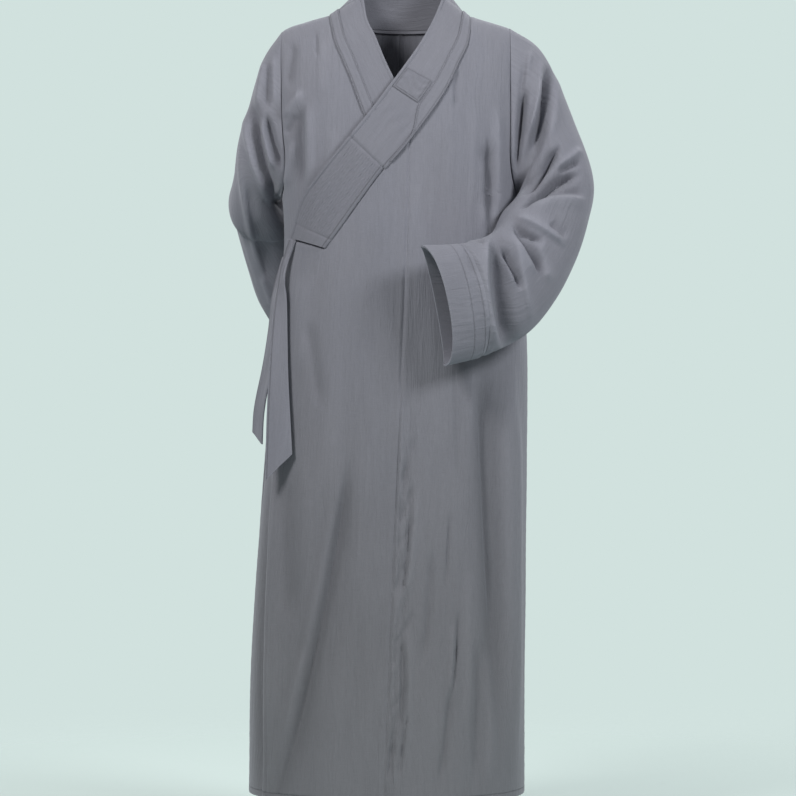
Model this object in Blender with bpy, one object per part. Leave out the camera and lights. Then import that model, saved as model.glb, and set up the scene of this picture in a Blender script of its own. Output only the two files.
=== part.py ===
# Cross-collar long robe of grey-blue cotton in the hollow form it takes when worn.
# The wearer's left arm is bent across the front, the right arm goes round behind the back.
# Metres, +Z up, the front faces -Y, and the wearer's left is +X.
# The origin is between the shoulders, level with the points where the collar crosses them.
import math
import bpy
import numpy as np

for old in list(bpy.data.objects):
    bpy.data.objects.remove(old, do_unlink=True)

# Driving sizes
HEM = -1.27             # hem below the shoulder points
ARMPIT = -0.30          # bottom of the armhole
CLOTH = 0.0018          # wall of the body and sleeves
BAND = 0.0030           # wall of the collar and the cuffs, folded double
STRIP = 0.0012          # strips sewn on top of the collar
GAP = 0.0004            # half of the space left along a seam
LAP = 0.0060            # how far the wrapped front stands off the one below it
NECK_OUT = 0.1130       # where the collar seam crosses the shoulder, from the middle
ARMHOLE_TURN = 64.0     # how far round the body the armhole edge lies, degrees
ROUND = 2.3             # squareness of the body's section
SHOULDER_ROUND = 2.2    # squareness of the chest and back where they turn over the shoulder
RIDGE_Y = 0.006         # the shoulder's top line stands this far behind the middle
UNDER_EDGE = 0.030      # free edge of the under front, past the middle
CORNER = (0.0144, -0.2152)  # where the middle seam meets the collar
CORNER_AT = 4.22        # the collar's station there

# Body section: height, half width on wearer's right, on wearer's left, depth in front, behind
BODY = np.array([
    (-1.27, 0.248, 0.203, 0.165, 0.170),
    (-1.10, 0.244, 0.204, 0.160, 0.165),
    (-0.90, 0.234, 0.206, 0.155, 0.157),
    (-0.72, 0.221, 0.208, 0.150, 0.146),
    (-0.55, 0.207, 0.208, 0.147, 0.126),
    (-0.45, 0.195, 0.203, 0.145, 0.110),
    (-0.37, 0.189, 0.196, 0.140, 0.104),
    (-0.30, 0.193, 0.192, 0.134, 0.107),
    (-0.22, 0.209, 0.198, 0.129, 0.112),
    (-0.10, 0.215, 0.200, 0.125, 0.112),
    (0.05, 0.215, 0.200, 0.123, 0.111),
])

# Shoulder line: distance out from the middle, height on wearer's right, on wearer's left
SHOULDER = np.array([
    (0.000, 0.0060, 0.0060),
    (0.060, 0.0040, 0.0020),
    (0.113, -0.0005, -0.0035),
    (0.154, -0.0115, -0.0135),
    (0.1935, -0.0275, -0.0285),
    (0.240, -0.0850, -0.0700),
])

# Middle front seam: height, distance from the middle
FRONT_SEAM = np.array([
    (-1.272, -0.0270),
    (-0.912, -0.0127),
    (-0.710, -0.0032),
    (-0.520, 0.0048),
    (-0.393, 0.0095),
    (-0.2152, 0.0144),
])

# Free edge of the wrapped front: height, distance from the middle
LAP_EDGE = np.array([
    (-1.272, -0.2195),
    (-0.955, -0.2190),
    (-0.761, -0.2130),
    (-0.664, -0.2060),
    (-0.583, -0.1985),
    (-0.469, -0.1850),
    (-0.3705, -0.1765),
])

# Collar band, from its sewn-down end, up and round the neck, to its hidden end.
# Each row: station, seam x, seam z, free x, free z, lift off the chest, seam y, free y.
# A y of nan lies on the chest, and the other rows stand up round the neck.
ON = math.nan
COLLAR = np.array([
    (0.0, -0.1200, -0.3891, -0.1765, -0.3705, 0.0097, ON, ON),
    (1.0, -0.0944, -0.3553, -0.1592, -0.3112, 0.0097, ON, ON),
    (2.0, -0.0672, -0.3176, -0.1302, -0.2704, 0.0097, ON, ON),
    (3.0, -0.0261, -0.2626, -0.0808, -0.2104, 0.0097, ON, ON),
    (4.0, 0.0064, -0.2249, -0.0448, -0.1656, 0.0097, ON, ON),
    (5.0, 0.0456, -0.1728, -0.0176, -0.1288, 0.0095, ON, ON),
    (6.0, 0.0720, -0.1320, 0.0067, -0.0952, 0.0085, ON, ON),
    (7.0, 0.0923, -0.0888, 0.0330, -0.0552, 0.0062, ON, ON),
    (8.0, 0.1088, -0.0500, 0.0535, -0.0150, 0.0036, ON, -0.0520),
    (9.0, 0.1130, -0.0035, 0.0691, 0.0260, 0.0010, 0.0040, -0.0200),
    (10.0, 0.1050, -0.0120, 0.0745, 0.0450, 0.0010, 0.0410, 0.0200),
    (11.0, 0.0650, -0.0188, 0.0530, 0.0500, 0.0010, 0.0829, 0.0590),
    (12.0, 0.0000, -0.0215, 0.0000, 0.0470, 0.0010, 0.1010, 0.0810),
    (13.0, -0.0650, -0.0145, -0.0520, 0.0510, 0.0010, 0.0829, 0.0590),
    (14.0, -0.1050, -0.0075, -0.0680, 0.0460, 0.0010, 0.0410, 0.0200),
    (15.0, -0.1130, -0.0005, -0.0600, 0.0260, 0.0010, 0.0040, -0.0200),
    (16.0, -0.1045, -0.0470, -0.0528, -0.0140, 0.0015, ON, -0.0520),
    (17.0, -0.0914, -0.0806, -0.0400, -0.0430, 0.0015, ON, ON),
    (18.0, -0.0754, -0.1206, -0.0224, -0.0878, 0.0015, ON, ON),
    (19.0, -0.0548, -0.1758, 0.0016, -0.1390, 0.0015, ON, ON),
    (20.0, -0.0288, -0.2254, 0.0224, -0.1790, 0.0015, ON, ON),
    (21.0, 0.0000, -0.2654, 0.0480, -0.2142, 0.0015, ON, ON),
])
COLLAR_JOIN = 3.0       # cross seam between the band and its quilted end
PATCH_FROM = 5.05       # the patch lies between these two stations
PATCH_TO = 6.0
BORDER_FROM = 3.3       # the narrow border along the seam starts here
BORDER_TO = 19.6        # and ends here, under the wrapped front
BORDER_WIDE = 0.27      # its width as a share of the band
NECK_FROM = 9.0         # between these two stations the collar seam runs behind the neck
NECK_TO = 15.0
NECK_RISE = 0.0001      # the band starts this far above the back and the shoulder

# Sleeves: ring, outer point x y z, inner point x y z, half thickness, how far the front
# edge of the ring is drawn back up the arm. Ring 0 is the armhole.
SLEEVE_LEFT = np.array([
    (0.0, 0.1900, 0.010, -0.0280, 0.1920, 0.000, -0.3000, 0.062, 0.000),
    (1.0, 0.2370, 0.012, -0.0620, 0.1970, -0.006, -0.2990, 0.066, 0.000),
    (2.0, 0.2730, 0.015, -0.1400, 0.1960, -0.024, -0.2990, 0.066, 0.000),
    (3.0, 0.2970, 0.010, -0.2199, 0.1890, -0.054, -0.3020, 0.063, 0.000),
    (4.0, 0.3080, -0.004, -0.2934, 0.1810, -0.084, -0.3110, 0.058, 0.000),
    (5.0, 0.2960, -0.028, -0.3504, 0.1700, -0.110, -0.3270, 0.053, 0.000),
    (6.0, 0.2755, -0.058, -0.4123, 0.1564, -0.135, -0.3570, 0.050, 0.000),
    (7.0, 0.2411, -0.100, -0.4753, 0.1348, -0.163, -0.3730, 0.048, 0.000),
    (8.0, 0.1945, -0.138, -0.5291, 0.1150, -0.182, -0.3800, 0.045, 0.002),
    (9.0, 0.1270, -0.170, -0.5625, 0.0940, -0.197, -0.3864, 0.040, 0.008),
    (10.0, 0.0689, -0.190, -0.5781, 0.0323, -0.215, -0.3895, 0.034, 0.016),
])
SLEEVE_RIGHT = np.array([
    (0.0, -0.1930, 0.010, -0.0280, -0.1930, 0.000, -0.3000, 0.062, 0.000),
    (1.0, -0.2255, 0.012, -0.0780, -0.1990, 0.004, -0.3030, 0.064, 0.000),
    (2.0, -0.2460, 0.020, -0.1600, -0.2000, 0.014, -0.3080, 0.064, 0.000),
    (3.0, -0.2670, 0.030, -0.2400, -0.1930, 0.040, -0.3150, 0.061, 0.000),
    (4.0, -0.2840, 0.048, -0.3083, -0.1830, 0.070, -0.3220, 0.057, 0.000),
    (5.0, -0.2698, 0.074, -0.3515, -0.1700, 0.104, -0.3320, 0.053, 0.000),
    (6.0, -0.2484, 0.108, -0.4216, -0.1560, 0.134, -0.3500, 0.050, 0.000),
    (7.0, -0.2278, 0.136, -0.4795, -0.1450, 0.156, -0.3710, 0.047, 0.000),
    (8.0, -0.1900, 0.168, -0.5350, -0.1150, 0.172, -0.3900, 0.044, 0.000),
    (9.0, -0.1300, 0.190, -0.5800, -0.0780, 0.184, -0.4100, 0.040, 0.000),
    (10.0, -0.0720, 0.204, -0.6060, -0.0240, 0.194, -0.4240, 0.034, 0.000),
])
CUFF_AT = 9.0           # the cuffs run from this ring to the last one

# Ties: distance along, x, z, width, y, turn of the face about the strip's length in degrees
TIE_FRONT = np.array([
    (0.000, -0.1735, -0.3740, 0.014, -0.0870, 20.0),
    (0.040, -0.1880, -0.4142, 0.013, -0.0850, 60.0),
    (0.100, -0.1920, -0.4740, 0.022, -0.0920, 25.0),
    (0.205, -0.1945, -0.5800, 0.031, -0.1080, 10.0),
    (0.320, -0.1940, -0.6950, 0.041, -0.1200, 5.0),
    (0.363, -0.1935, -0.7380, 0.043, -0.1240, 5.0),
])
TIE_BACK = np.array([
    (0.000, -0.1912, -0.3980, 0.012, -0.0300, 80.0),
    (0.060, -0.2025, -0.4600, 0.026, -0.0580, 64.0),
    (0.120, -0.2075, -0.5160, 0.033, -0.0600, 64.0),
    (0.180, -0.2160, -0.5780, 0.034, -0.0580, 60.0),
    (0.260, -0.2305, -0.6550, 0.034, -0.0550, 60.0),
    (0.300, -0.2320, -0.6930, 0.034, -0.0520, 60.0),
])

# Largest folds of the front: path x z x z x z, width to the left, to the right, height
FRONT_FOLDS = np.array([
    (-0.087, -0.780, -0.125, -0.990, -0.190, -1.230, 0.030, 0.042, -0.0060),
    (0.130, -0.600, 0.143, -0.800, 0.160, -1.150, 0.022, 0.026, -0.0070),
    (0.172, -0.560, 0.176, -0.850, 0.178, -1.240, 0.014, 0.016, 0.0030),
    (-0.200, -0.760, -0.204, -0.950, -0.205, -1.260, 0.008, 0.020, 0.0030),
    (-0.181, -0.720, -0.180, -0.860, -0.178, -1.000, 0.012, 0.020, -0.0040),
    (0.141, -0.215, 0.143, -0.280, 0.145, -0.340, 0.014, 0.012, -0.0050),
    (-0.160, -0.150, -0.160, -0.210, -0.158, -0.290, 0.016, 0.010, -0.0050),
])

# Largest folds of the back, in the same columns, as seen through from the front
BACK_FOLDS = np.array([
    (-0.060, -0.520, -0.100, -0.850, -0.150, -1.240, 0.026, 0.034, -0.0070),
    (0.075, -0.560, 0.095, -0.900, 0.120, -1.240, 0.028, 0.022, -0.0070),
    (0.005, -0.420, -0.010, -0.760, -0.005, -1.200, 0.026, 0.030, 0.0045),
    (0.140, -0.120, 0.120, -0.200, 0.135, -0.320, 0.018, 0.022, -0.0050),
    (-0.145, -0.120, -0.125, -0.210, -0.130, -0.330, 0.020, 0.018, -0.0050),
])

# Largest folds on the front of the sleeves, in the same columns
LEFT_SLEEVE_FOLDS = np.array([
    (0.238, -0.085, 0.234, -0.160, 0.196, -0.270, 0.010, 0.012, -0.0120),
    (0.208, -0.070, 0.196, -0.150, 0.190, -0.230, 0.008, 0.009, -0.0080),
    (0.255, -0.225, 0.225, -0.265, 0.193, -0.300, 0.012, 0.010, -0.0090),
    (0.292, -0.268, 0.245, -0.288, 0.205, -0.318, 0.013, 0.009, -0.0110),
    (0.146, -0.375, 0.142, -0.460, 0.160, -0.535, 0.016, 0.020, -0.0060),
    (0.180, -0.352, 0.212, -0.400, 0.238, -0.430, 0.011, 0.013, -0.0050),
])
RIGHT_SLEEVE_FOLDS = np.array([
    (-0.245, -0.155, -0.232, -0.230, -0.196, -0.312, 0.011, 0.012, -0.0130),
    (-0.219, -0.175, -0.210, -0.210, -0.198, -0.250, 0.008, 0.009, -0.0080),
    (-0.262, -0.180, -0.256, -0.310, -0.228, -0.430, 0.008, 0.012, 0.0040),
    (-0.243, -0.330, -0.232, -0.380, -0.216, -0.430, 0.012, 0.014, -0.0060),
])


def smooth(table, col, q, key=0):
    """Smooth curve through one column of a table whose key column rises."""
    xs = table[:, key]
    ys = table[:, col]
    slope = np.gradient(ys, xs)
    q = np.clip(q, xs[0], xs[-1])
    i = np.clip(np.searchsorted(xs, q, side="right") - 1, 0, len(xs) - 2)
    h = xs[i + 1] - xs[i]
    t = (q - xs[i]) / h
    first = (2 * t**3 - 3 * t**2 + 1) * ys[i] + (t**3 - 2 * t**2 + t) * h * slope[i]
    second = (3 * t**2 - 2 * t**3) * ys[i + 1] + (t**3 - t**2) * h * slope[i + 1]
    return first + second


def ease(t):
    """0 to 1 with level ends."""
    t = np.clip(t, 0.0, 1.0)
    return t * t * (3.0 - 2.0 * t)


def half_width(x, z):
    return np.where(x < 0, smooth(BODY, 1, z), smooth(BODY, 2, z))


def ridge(x):
    """Height of the shoulder line."""
    return np.where(x < 0, smooth(SHOULDER, 1, np.abs(x)), smooth(SHOULDER, 2, np.abs(x)))


def neck_bow(x):
    """1 at the middle of the back neckline, 0 where it meets the shoulder line."""
    return np.sqrt(np.clip(1.0 - (np.abs(x) / NECK_OUT) ** 2, 0.0, 1.0))


def top_of(x, front):
    """Height at which the front or the back of the body ends at the top."""
    if front:
        return ridge(x)
    ends = smooth(SHOULDER, 1, NECK_OUT), smooth(SHOULDER, 2, NECK_OUT)
    edge = np.interp(x, [-NECK_OUT, NECK_OUT], ends)
    return np.where(np.abs(x) < NECK_OUT, edge - 0.014 * neck_bow(x), ridge(x))


def depth(x, z, front):
    """y of the body's surface at a place seen from the front or the back."""
    full = smooth(BODY, 3, z) if front else smooth(BODY, 4, z)
    across = np.clip(np.abs(x) / half_width(x, z), 0.0, 1.0)
    y = full * (1.0 - across**ROUND) ** (1.0 / ROUND)
    rise = np.clip((z - ARMPIT) / (top_of(x, front) - ARMPIT), 0.0, 1.0)
    turn = (1.0 - rise**SHOULDER_ROUND) ** (1.0 / SHOULDER_ROUND)
    if front:
        return RIDGE_Y * (1.0 - turn) - y * turn
    return (RIDGE_Y + 0.094 * neck_bow(x)) * (1.0 - turn) + y * turn


def level_of(x, z, front=True):
    """Height measured as a share of the way to the shoulder, above the armpit."""
    share = (z - ARMPIT) / (top_of(x, front) - ARMPIT)
    return np.where(z > ARMPIT, ARMPIT - ARMPIT * share, z)


def side_turn(level):
    """Angle round the body at which the side seam or the armhole edge lies."""
    s = np.clip((level - ARMPIT) / (0.30 * -ARMPIT), 0.0, 1.0)
    return np.radians(90.0 - (90.0 - ARMHOLE_TURN) * np.sqrt(1.0 - (1.0 - s) ** 2))


def height_of(x, level, front):
    share = np.clip((level - ARMPIT) / -ARMPIT, 0.0, 1.0)
    return np.where(level > ARMPIT, ARMPIT + share * (top_of(x, front) - ARMPIT), level)


def turn_of(x, level, front=True):
    """Share of the way round to the side, -1 to 1, at which x lies."""
    z = height_of(x, level, front)
    across = np.clip(np.abs(x) / half_width(x, z), 0.0, 1.0)
    return np.sign(x) * np.arcsin(across) / side_turn(level)


def body(turn, level, front):
    """Points of the body's surface, before layers and folds."""
    angle = np.abs(turn) * side_turn(level)
    side = np.where(turn < 0, -1.0, 1.0)
    x = side * half_width(side, level) * np.sin(angle)
    for again in range(3):
        z = height_of(x, level, front)
        x = side * half_width(side, z) * np.sin(angle)
    return np.stack([x, depth(x, z, front), z], axis=-1)


def grid_normals(p, closed=False):
    """Outward normals of a grid of points, rows upward and columns to the wearer's left."""
    up = np.gradient(p, axis=0)
    if closed:
        across = (np.roll(p, -1, axis=1) - np.roll(p, 1, axis=1)) * 0.5
    else:
        across = np.gradient(p, axis=1)
    n = np.cross(across, up)
    size = np.linalg.norm(n, axis=-1, keepdims=True)
    return n / np.maximum(size, 1e-12)


def fold_field(folds, x, z):
    """Height of all the folds of a table at places in the picture plane."""
    total = np.zeros_like(x)
    for row in folds:
        knots = row[:6].reshape(3, 2)
        t = np.linspace(0.0, 1.0, 13)[:, None]
        path = (1 - t) ** 2 * knots[0] + 2 * t * (1 - t) * (2 * knots[1] - 0.5 * (knots[0] + knots[2]))
        path = path + t**2 * knots[2]
        best = np.full(x.shape, 1e9)
        side = np.zeros(x.shape)
        along = np.zeros(x.shape)
        for i in range(len(path) - 1):
            a = path[i]
            d = path[i + 1] - a
            s = np.clip(((x - a[0]) * d[0] + (z - a[1]) * d[1]) / (d @ d), 0.0, 1.0)
            gap = np.hypot(x - a[0] - s * d[0], z - a[1] - s * d[1])
            near = gap < best
            best = np.where(near, gap, best)
            turn = d[0] * (z - a[1]) - d[1] * (x - a[0])
            side = np.where(near, np.sign(turn), side)
            along = np.where(near, (i + s) / 12.0, along)
        width = np.where(side < 0, row[6], row[7])
        fade = ease(np.minimum(along, 1.0 - along) / 0.25)
        total = total + row[8] * np.exp(-((best / width) ** 2)) * fade
    return total


def inset(p, sides, by=GAP):
    """Draws the named edges of a grid back by half of a seam's space."""
    q = p.copy()
    for name in sides:
        if name == "left":
            d = p[:, 1] - p[:, 0]
            q[:, 0] = q[:, 0] + d * (by / np.linalg.norm(d, axis=-1, keepdims=True))
        if name == "right":
            d = p[:, -2] - p[:, -1]
            q[:, -1] = q[:, -1] + d * (by / np.linalg.norm(d, axis=-1, keepdims=True))
        if name == "bottom":
            d = p[1] - p[0]
            q[0] = q[0] + d * (by / np.linalg.norm(d, axis=-1, keepdims=True))
        if name == "top":
            d = p[-2] - p[-1]
            q[-1] = q[-1] + d * (2 * by / np.linalg.norm(d, axis=-1, keepdims=True))
    return q


def cloth_object(name, outer, wall, closed=False, colour=(0.20, 0.205, 0.235), rough=0.9):
    """One closed sheet of cloth with its wall on the inner side of a grid of points."""
    normal = grid_normals(outer, closed)
    inner = outer - normal * wall
    rows, cols = outer.shape[:2]
    points = np.concatenate([outer.reshape(-1, 3), inner.reshape(-1, 3)])
    shift = rows * cols
    faces = []
    reach = cols if closed else cols - 1
    for r in range(rows - 1):
        for c in range(reach):
            a = r * cols + c
            b = r * cols + (c + 1) % cols
            faces.append((a, b, b + cols, a + cols))
            faces.append((a + shift, a + cols + shift, b + cols + shift, b + shift))
    for c in range(reach):
        b = (c + 1) % cols
        faces.append((c, c + shift, b + shift, b))
        e = (rows - 1) * cols
        faces.append((e + c, e + b, e + b + shift, e + c + shift))
    if not closed:
        for r in range(rows - 1):
            a = r * cols
            faces.append((a, a + cols, a + cols + shift, a + shift))
            b = a + cols - 1
            faces.append((b, b + shift, b + cols + shift, b + cols))
    mesh = bpy.data.meshes.new(name)
    mesh.from_pydata([tuple(v) for v in points], [], faces)
    mesh.update()
    ob = bpy.data.objects.new(name, mesh)
    bpy.context.scene.collection.objects.link(ob)
    mat = bpy.data.materials.new("cotton_" + name)
    mat.use_nodes = True
    shader = mat.node_tree.nodes["Principled BSDF"]
    shader.inputs["Base Color"].default_value = (*colour, 1.0)
    shader.inputs["Roughness"].default_value = rough
    mesh.materials.append(mat)
    return ob


def panel(turn, level, front, lift, folds):
    """Body panel from a grid of turns and levels, moved out by its layer and its folds."""
    p = body(turn, level, front)
    n = grid_normals(p) if front else -grid_normals(p)
    move = fold_field(folds, p[..., 0], p[..., 2]) + lift(p[..., 0], p[..., 2])
    return p + n * move[..., None]


def panel_between(left, right, levels, columns, *rest):
    """Panel whose rows run level from its left edge to its right edge."""
    level = np.repeat(levels[:, None], columns, axis=1)
    even = np.linspace(0.0, 1.0, columns)[None, :]
    return panel(left(level) + (right(level) - left(level)) * even, level, *rest)


def panel_below(left, right, top_turn, top_level, rows, *rest):
    """Panel whose columns run up from the hem to a top line given per column."""
    lo = left(top_level)
    hi = right(top_level)
    at_top = (top_turn - lo) / np.maximum(hi - lo, 1e-6)
    v = rows[:, None]
    level = HEM + v * (top_level[None, :] - HEM)
    share = np.linspace(0.0, 1.0, len(top_turn))[None, :] * (1.0 - v) + at_top[None, :] * v
    return panel(left(level) + (right(level) - left(level)) * share, level, *rest)


def spread(points, count):
    """Points spread evenly along a line."""
    points = np.asarray(points, float)
    at = np.concatenate([[0.0], np.cumsum(np.hypot(*np.diff(points, axis=0).T))])
    t = np.linspace(0.0, at[-1], count)
    return np.stack([np.interp(t, at, points[:, 0]), np.interp(t, at, points[:, 1])], axis=-1)


def collar_seam(stations):
    """The line along which the collar is sewn on, seen from the front."""
    k = np.asarray(stations)
    return np.stack([smooth(COLLAR, 1, k), smooth(COLLAR, 2, k)], axis=-1)


def no_lift(x, z):
    return np.zeros_like(x)


def lap_lift(x, z):
    """The wrapped front stands off the under front, and lies down towards the left side."""
    return LAP * (1.0 - ease((x - 0.065) / 0.08))


def seam_line(level):
    x = np.interp(level, FRONT_SEAM[:, 0], FRONT_SEAM[:, 1])
    return turn_of(x, level)


def lap_line(level):
    x = np.interp(level, LAP_EDGE[:, 0], LAP_EDGE[:, 1])
    return turn_of(x, level)


def front_inner_line(level):
    """Middle seam, then the collar seam above it."""
    seam = collar_seam(np.linspace(CORNER_AT, NECK_FROM, 60))
    x = np.interp(level, level_of(seam[:, 0], seam[:, 1]), seam[:, 0])
    return np.where(level < CORNER[1], seam_line(level), turn_of(x, level))


def under_inner_line(level):
    """Free edge of the under front, then the under collar's seam above it."""
    seam = collar_seam(np.linspace(21.0, 15.0, 90))
    low = [HEM, -0.34]
    x = np.interp(level, [*low, *level_of(seam[:, 0], seam[:, 1])],
                  [UNDER_EDGE, UNDER_EDGE, *seam[:, 0]])
    return turn_of(x, level)


def stations_at(levels, start, stop):
    """Stations of the collar at which its seam passes the given levels."""
    k = np.linspace(start, stop, 400)
    seam = collar_seam(k)
    at = level_of(seam[:, 0], seam[:, 1])
    order = np.argsort(at)
    inside = levels[(levels > at.min()) & (levels < at.max())]
    return np.interp(inside, at[order], k[order])


def left_side(level):
    return np.ones_like(level)


def right_side(level):
    return -np.ones_like(level)


def middle_back(level):
    return np.zeros_like(level)


RING = 26               # columns round a sleeve, so half as many rows up each armhole edge
third = 1.0 / 3.0
theta = np.linspace(math.pi, 0.0, RING // 2 + 1)
upper = ARMPIT * (1.0 - np.cos(theta)) * 0.5
lower = np.linspace(HEM, ARMPIT, 17)[:-1]

# Wearer's left front: from the middle seam round to the side, up to the collar and shoulder
levels = np.sort(np.concatenate([lower, upper, [CORNER[1]]]))
front_left = panel_between(front_inner_line, left_side, levels, 16, True, lap_lift, FRONT_FOLDS)
cloth_object("front_left", inset(front_left, ["left", "right", "top"]), CLOTH)

# Wrapped front: from the middle seam to its free edge by the wearer's right side
seam = collar_seam(np.arange(0, 4.2, third))
line = np.concatenate([spread([(-0.1765, -0.3705), (-0.1200, -0.3891)], 5), seam[1::1], [CORNER]])
level = level_of(line[:, 0], line[:, 1])
turn = turn_of(line[:, 0], level)
front_overlap = panel_below(lap_line, seam_line, turn, level, np.linspace(0.0, 1.0, 26), True,
                            lambda x, z: np.full_like(x, LAP), FRONT_FOLDS)
cloth_object("front_overlap", inset(front_overlap, ["right", "top"]), CLOTH)

# Under front: wearer's right side round to its own free edge, hidden below the wrap
levels = np.concatenate([lower, upper])
front_under = panel_between(right_side, under_inner_line, levels, 16, True, no_lift, FRONT_FOLDS)
cloth_object("front_under", inset(front_under, ["left", "right", "top"]), CLOTH)

# Back halves, with a seam down the middle
rows = (levels - HEM) / -HEM
for name, side in (("back_left", 1.0), ("back_right", -1.0)):
    tip = body(np.array([side]), np.array([0.0]), False)[0]
    if side > 0:
        x = collar_seam(np.arange(12, 8.99, -third))[:, 0]
        x = np.concatenate([x, np.linspace(NECK_OUT + 0.0005, tip[0], 6)[1:]])
    else:
        x = collar_seam(np.arange(12, 15.01, third))[:, 0]
        x = np.concatenate([x, np.linspace(-NECK_OUT, tip[0], 6)[1:]])
    level = np.zeros(len(x))
    turn = turn_of(x, level, False)
    turn[0] = 0.0
    turn[-1] = side
    if side > 0:
        half = panel_below(middle_back, left_side, turn, level, rows, False,
                           no_lift, BACK_FOLDS)
    else:
        half = panel_below(right_side, middle_back, turn[::-1], level, rows, False,
                           no_lift, BACK_FOLDS)
    cloth_object(name, inset(half[:, ::-1], ["left", "right", "top"]), CLOTH)


def armhole(side, theta):
    """Loop of the armhole: 0 at the shoulder, a half turn at the armpit, front first."""
    level = ARMPIT * (1.0 - np.cos(theta)) * 0.5
    edge = np.full_like(level, side)
    ahead = body(edge, level, True)
    behind = body(edge, level, False)
    loop = np.where((np.sin(theta) >= 0)[:, None], ahead, behind)
    loop[:, 0] += side * 2 * GAP
    return loop


def clear_of_body(p, amount, before, behind):
    """Pushes points out of the body's hollow form, so that a sleeve lies just clear of it."""
    x, y, z = p[..., 0], p[..., 1], p[..., 2]
    deep = np.where(y < 0, smooth(BODY, 3, z), smooth(BODY, 4, z))
    f = (np.abs(x / half_width(x, z)) ** ROUND + np.abs(y / deep) ** ROUND) ** (1.0 / ROUND)
    r = np.hypot(x, y)
    r0 = r / np.maximum(f, 1e-6)
    want = r0 + np.where(y < 0, before + lap_lift(x, z), behind)
    soft = 0.003
    pushed = want + soft * np.logaddexp(0.0, (r - want) / soft)
    share = amount * ease((ARMPIT + 0.03 - z) / 0.03)
    k = 1.0 + (pushed / np.maximum(r, 1e-6) - 1.0) * share
    return np.stack([x * k, y * k, z], axis=-1)


def sleeve(table, side, stations, count, folds):
    """Rings of a sleeve from the armhole to the cuff."""
    theta = np.linspace(0.0, 2.0 * math.pi, count, endpoint=False)
    k = np.asarray(stations)
    outer = np.stack([smooth(table, c, k) for c in (1, 2, 3)], axis=-1)
    inner = np.stack([smooth(table, c, k) for c in (4, 5, 6)], axis=-1)
    half = smooth(table, 7, k)
    drawn = smooth(table, 8, k)
    fine = np.linspace(0.0, 10.0, 101)
    mid = np.stack([(smooth(table, c, fine) + smooth(table, c + 3, fine)) * 0.5
                    for c in (1, 2, 3)], axis=-1)
    way = np.gradient(mid, axis=0)
    way = way / np.linalg.norm(way, axis=-1, keepdims=True)
    way = np.stack([np.interp(k, fine, way[:, c]) for c in range(3)], axis=-1)
    long = (outer - inner) * 0.5
    broad = np.cross(long, way)
    broad = broad / np.linalg.norm(broad, axis=-1, keepdims=True)
    broad = broad * np.where(broad[:, 1:2] > 0, -1.0, 1.0)
    turned = ease(k / 3.8)[:, None]
    broad = broad * turned + np.array([0.0, -1.0, 0.0]) * (1.0 - turned)
    broad = broad / np.linalg.norm(broad, axis=-1, keepdims=True)
    c = np.cos(theta)
    s = np.sin(theta)
    c = np.sign(c) * np.abs(c) ** 0.92
    s2 = np.sign(s) * np.abs(s) ** 0.85
    mid_k = (outer + inner) * 0.5
    ring = (mid_k[:, None] + long[:, None] * c[None, :, None]
            + broad[:, None] * (half[:, None] * s2[None, :])[..., None]
            - way[:, None] * (drawn[:, None] * np.abs(s)[None, :])[..., None])
    zero = np.array([0.0])
    o0 = np.array([smooth(table, i, zero)[0] for i in (1, 2, 3)])
    i0 = np.array([smooth(table, i, zero)[0] for i in (4, 5, 6)])
    first = ((o0 + i0) * 0.5 + (o0 - i0) * 0.5 * c[:, None]
             + np.array([0.0, -1.0, 0.0]) * (0.062 * s2)[:, None])
    blend = 1.0 - ease(k / 2.4)
    gone = np.where(k[:, None, None] <= 1e-9, 1.0, blend[:, None, None])
    loop = armhole(side, theta)
    at_zero = k[:, None, None] <= 1e-9
    ring = np.where(at_zero, loop[None], ring + (loop - first)[None] * gone)
    push = ease((k - 1.2) / 2.0)[:, None]
    ring = clear_of_body(ring, push, 0.007, 0.007)
    n = grid_normals(ring, True)
    if side > 0:
        n = -n
    outward = ring - ring.mean(axis=1, keepdims=True)
    flip = np.sign((n * outward).sum(axis=-1).mean())
    n = n * flip
    face = np.clip(-n[..., 1], 0.0, 1.0) ** 0.5
    away = ease(k / 0.6)[:, None] * ease((10.0 - k) / 0.8)[:, None]
    move = fold_field(folds, ring[..., 0], ring[..., 2]) * face * away
    ring = ring + n * move[..., None]
    return ring, flip * (-1.0 if side > 0 else 1.0)


def sleeve_objects(word, table, side, folds):
    stations = np.array([0.0, 0.3, 0.7, 1.15, 1.6, 2.1, 2.6, 3.1, 3.6, 4.1, 4.6, 5.1, 5.6,
                         6.1, 6.6, 7.1, 7.6, 8.1, 8.6, CUFF_AT])
    ring, sense = sleeve(table, side, stations, RING, folds)
    if sense < 0:
        ring = ring[:, ::-1]
    cloth_object("sleeve_" + word, inset(ring, ["top"]), CLOTH, closed=True)
    ring, sense = sleeve(table, side, np.array([CUFF_AT, 9.35, 9.7, 10.0]), RING, folds)
    if sense < 0:
        ring = ring[:, ::-1]
    cloth_object("cuff_" + word, inset(ring, ["bottom"]), BAND, closed=True)


sleeve_objects("left", SLEEVE_LEFT, 1.0, LEFT_SLEEVE_FOLDS)
sleeve_objects("right", SLEEVE_RIGHT, -1.0, RIGHT_SLEEVE_FOLDS)


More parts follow.
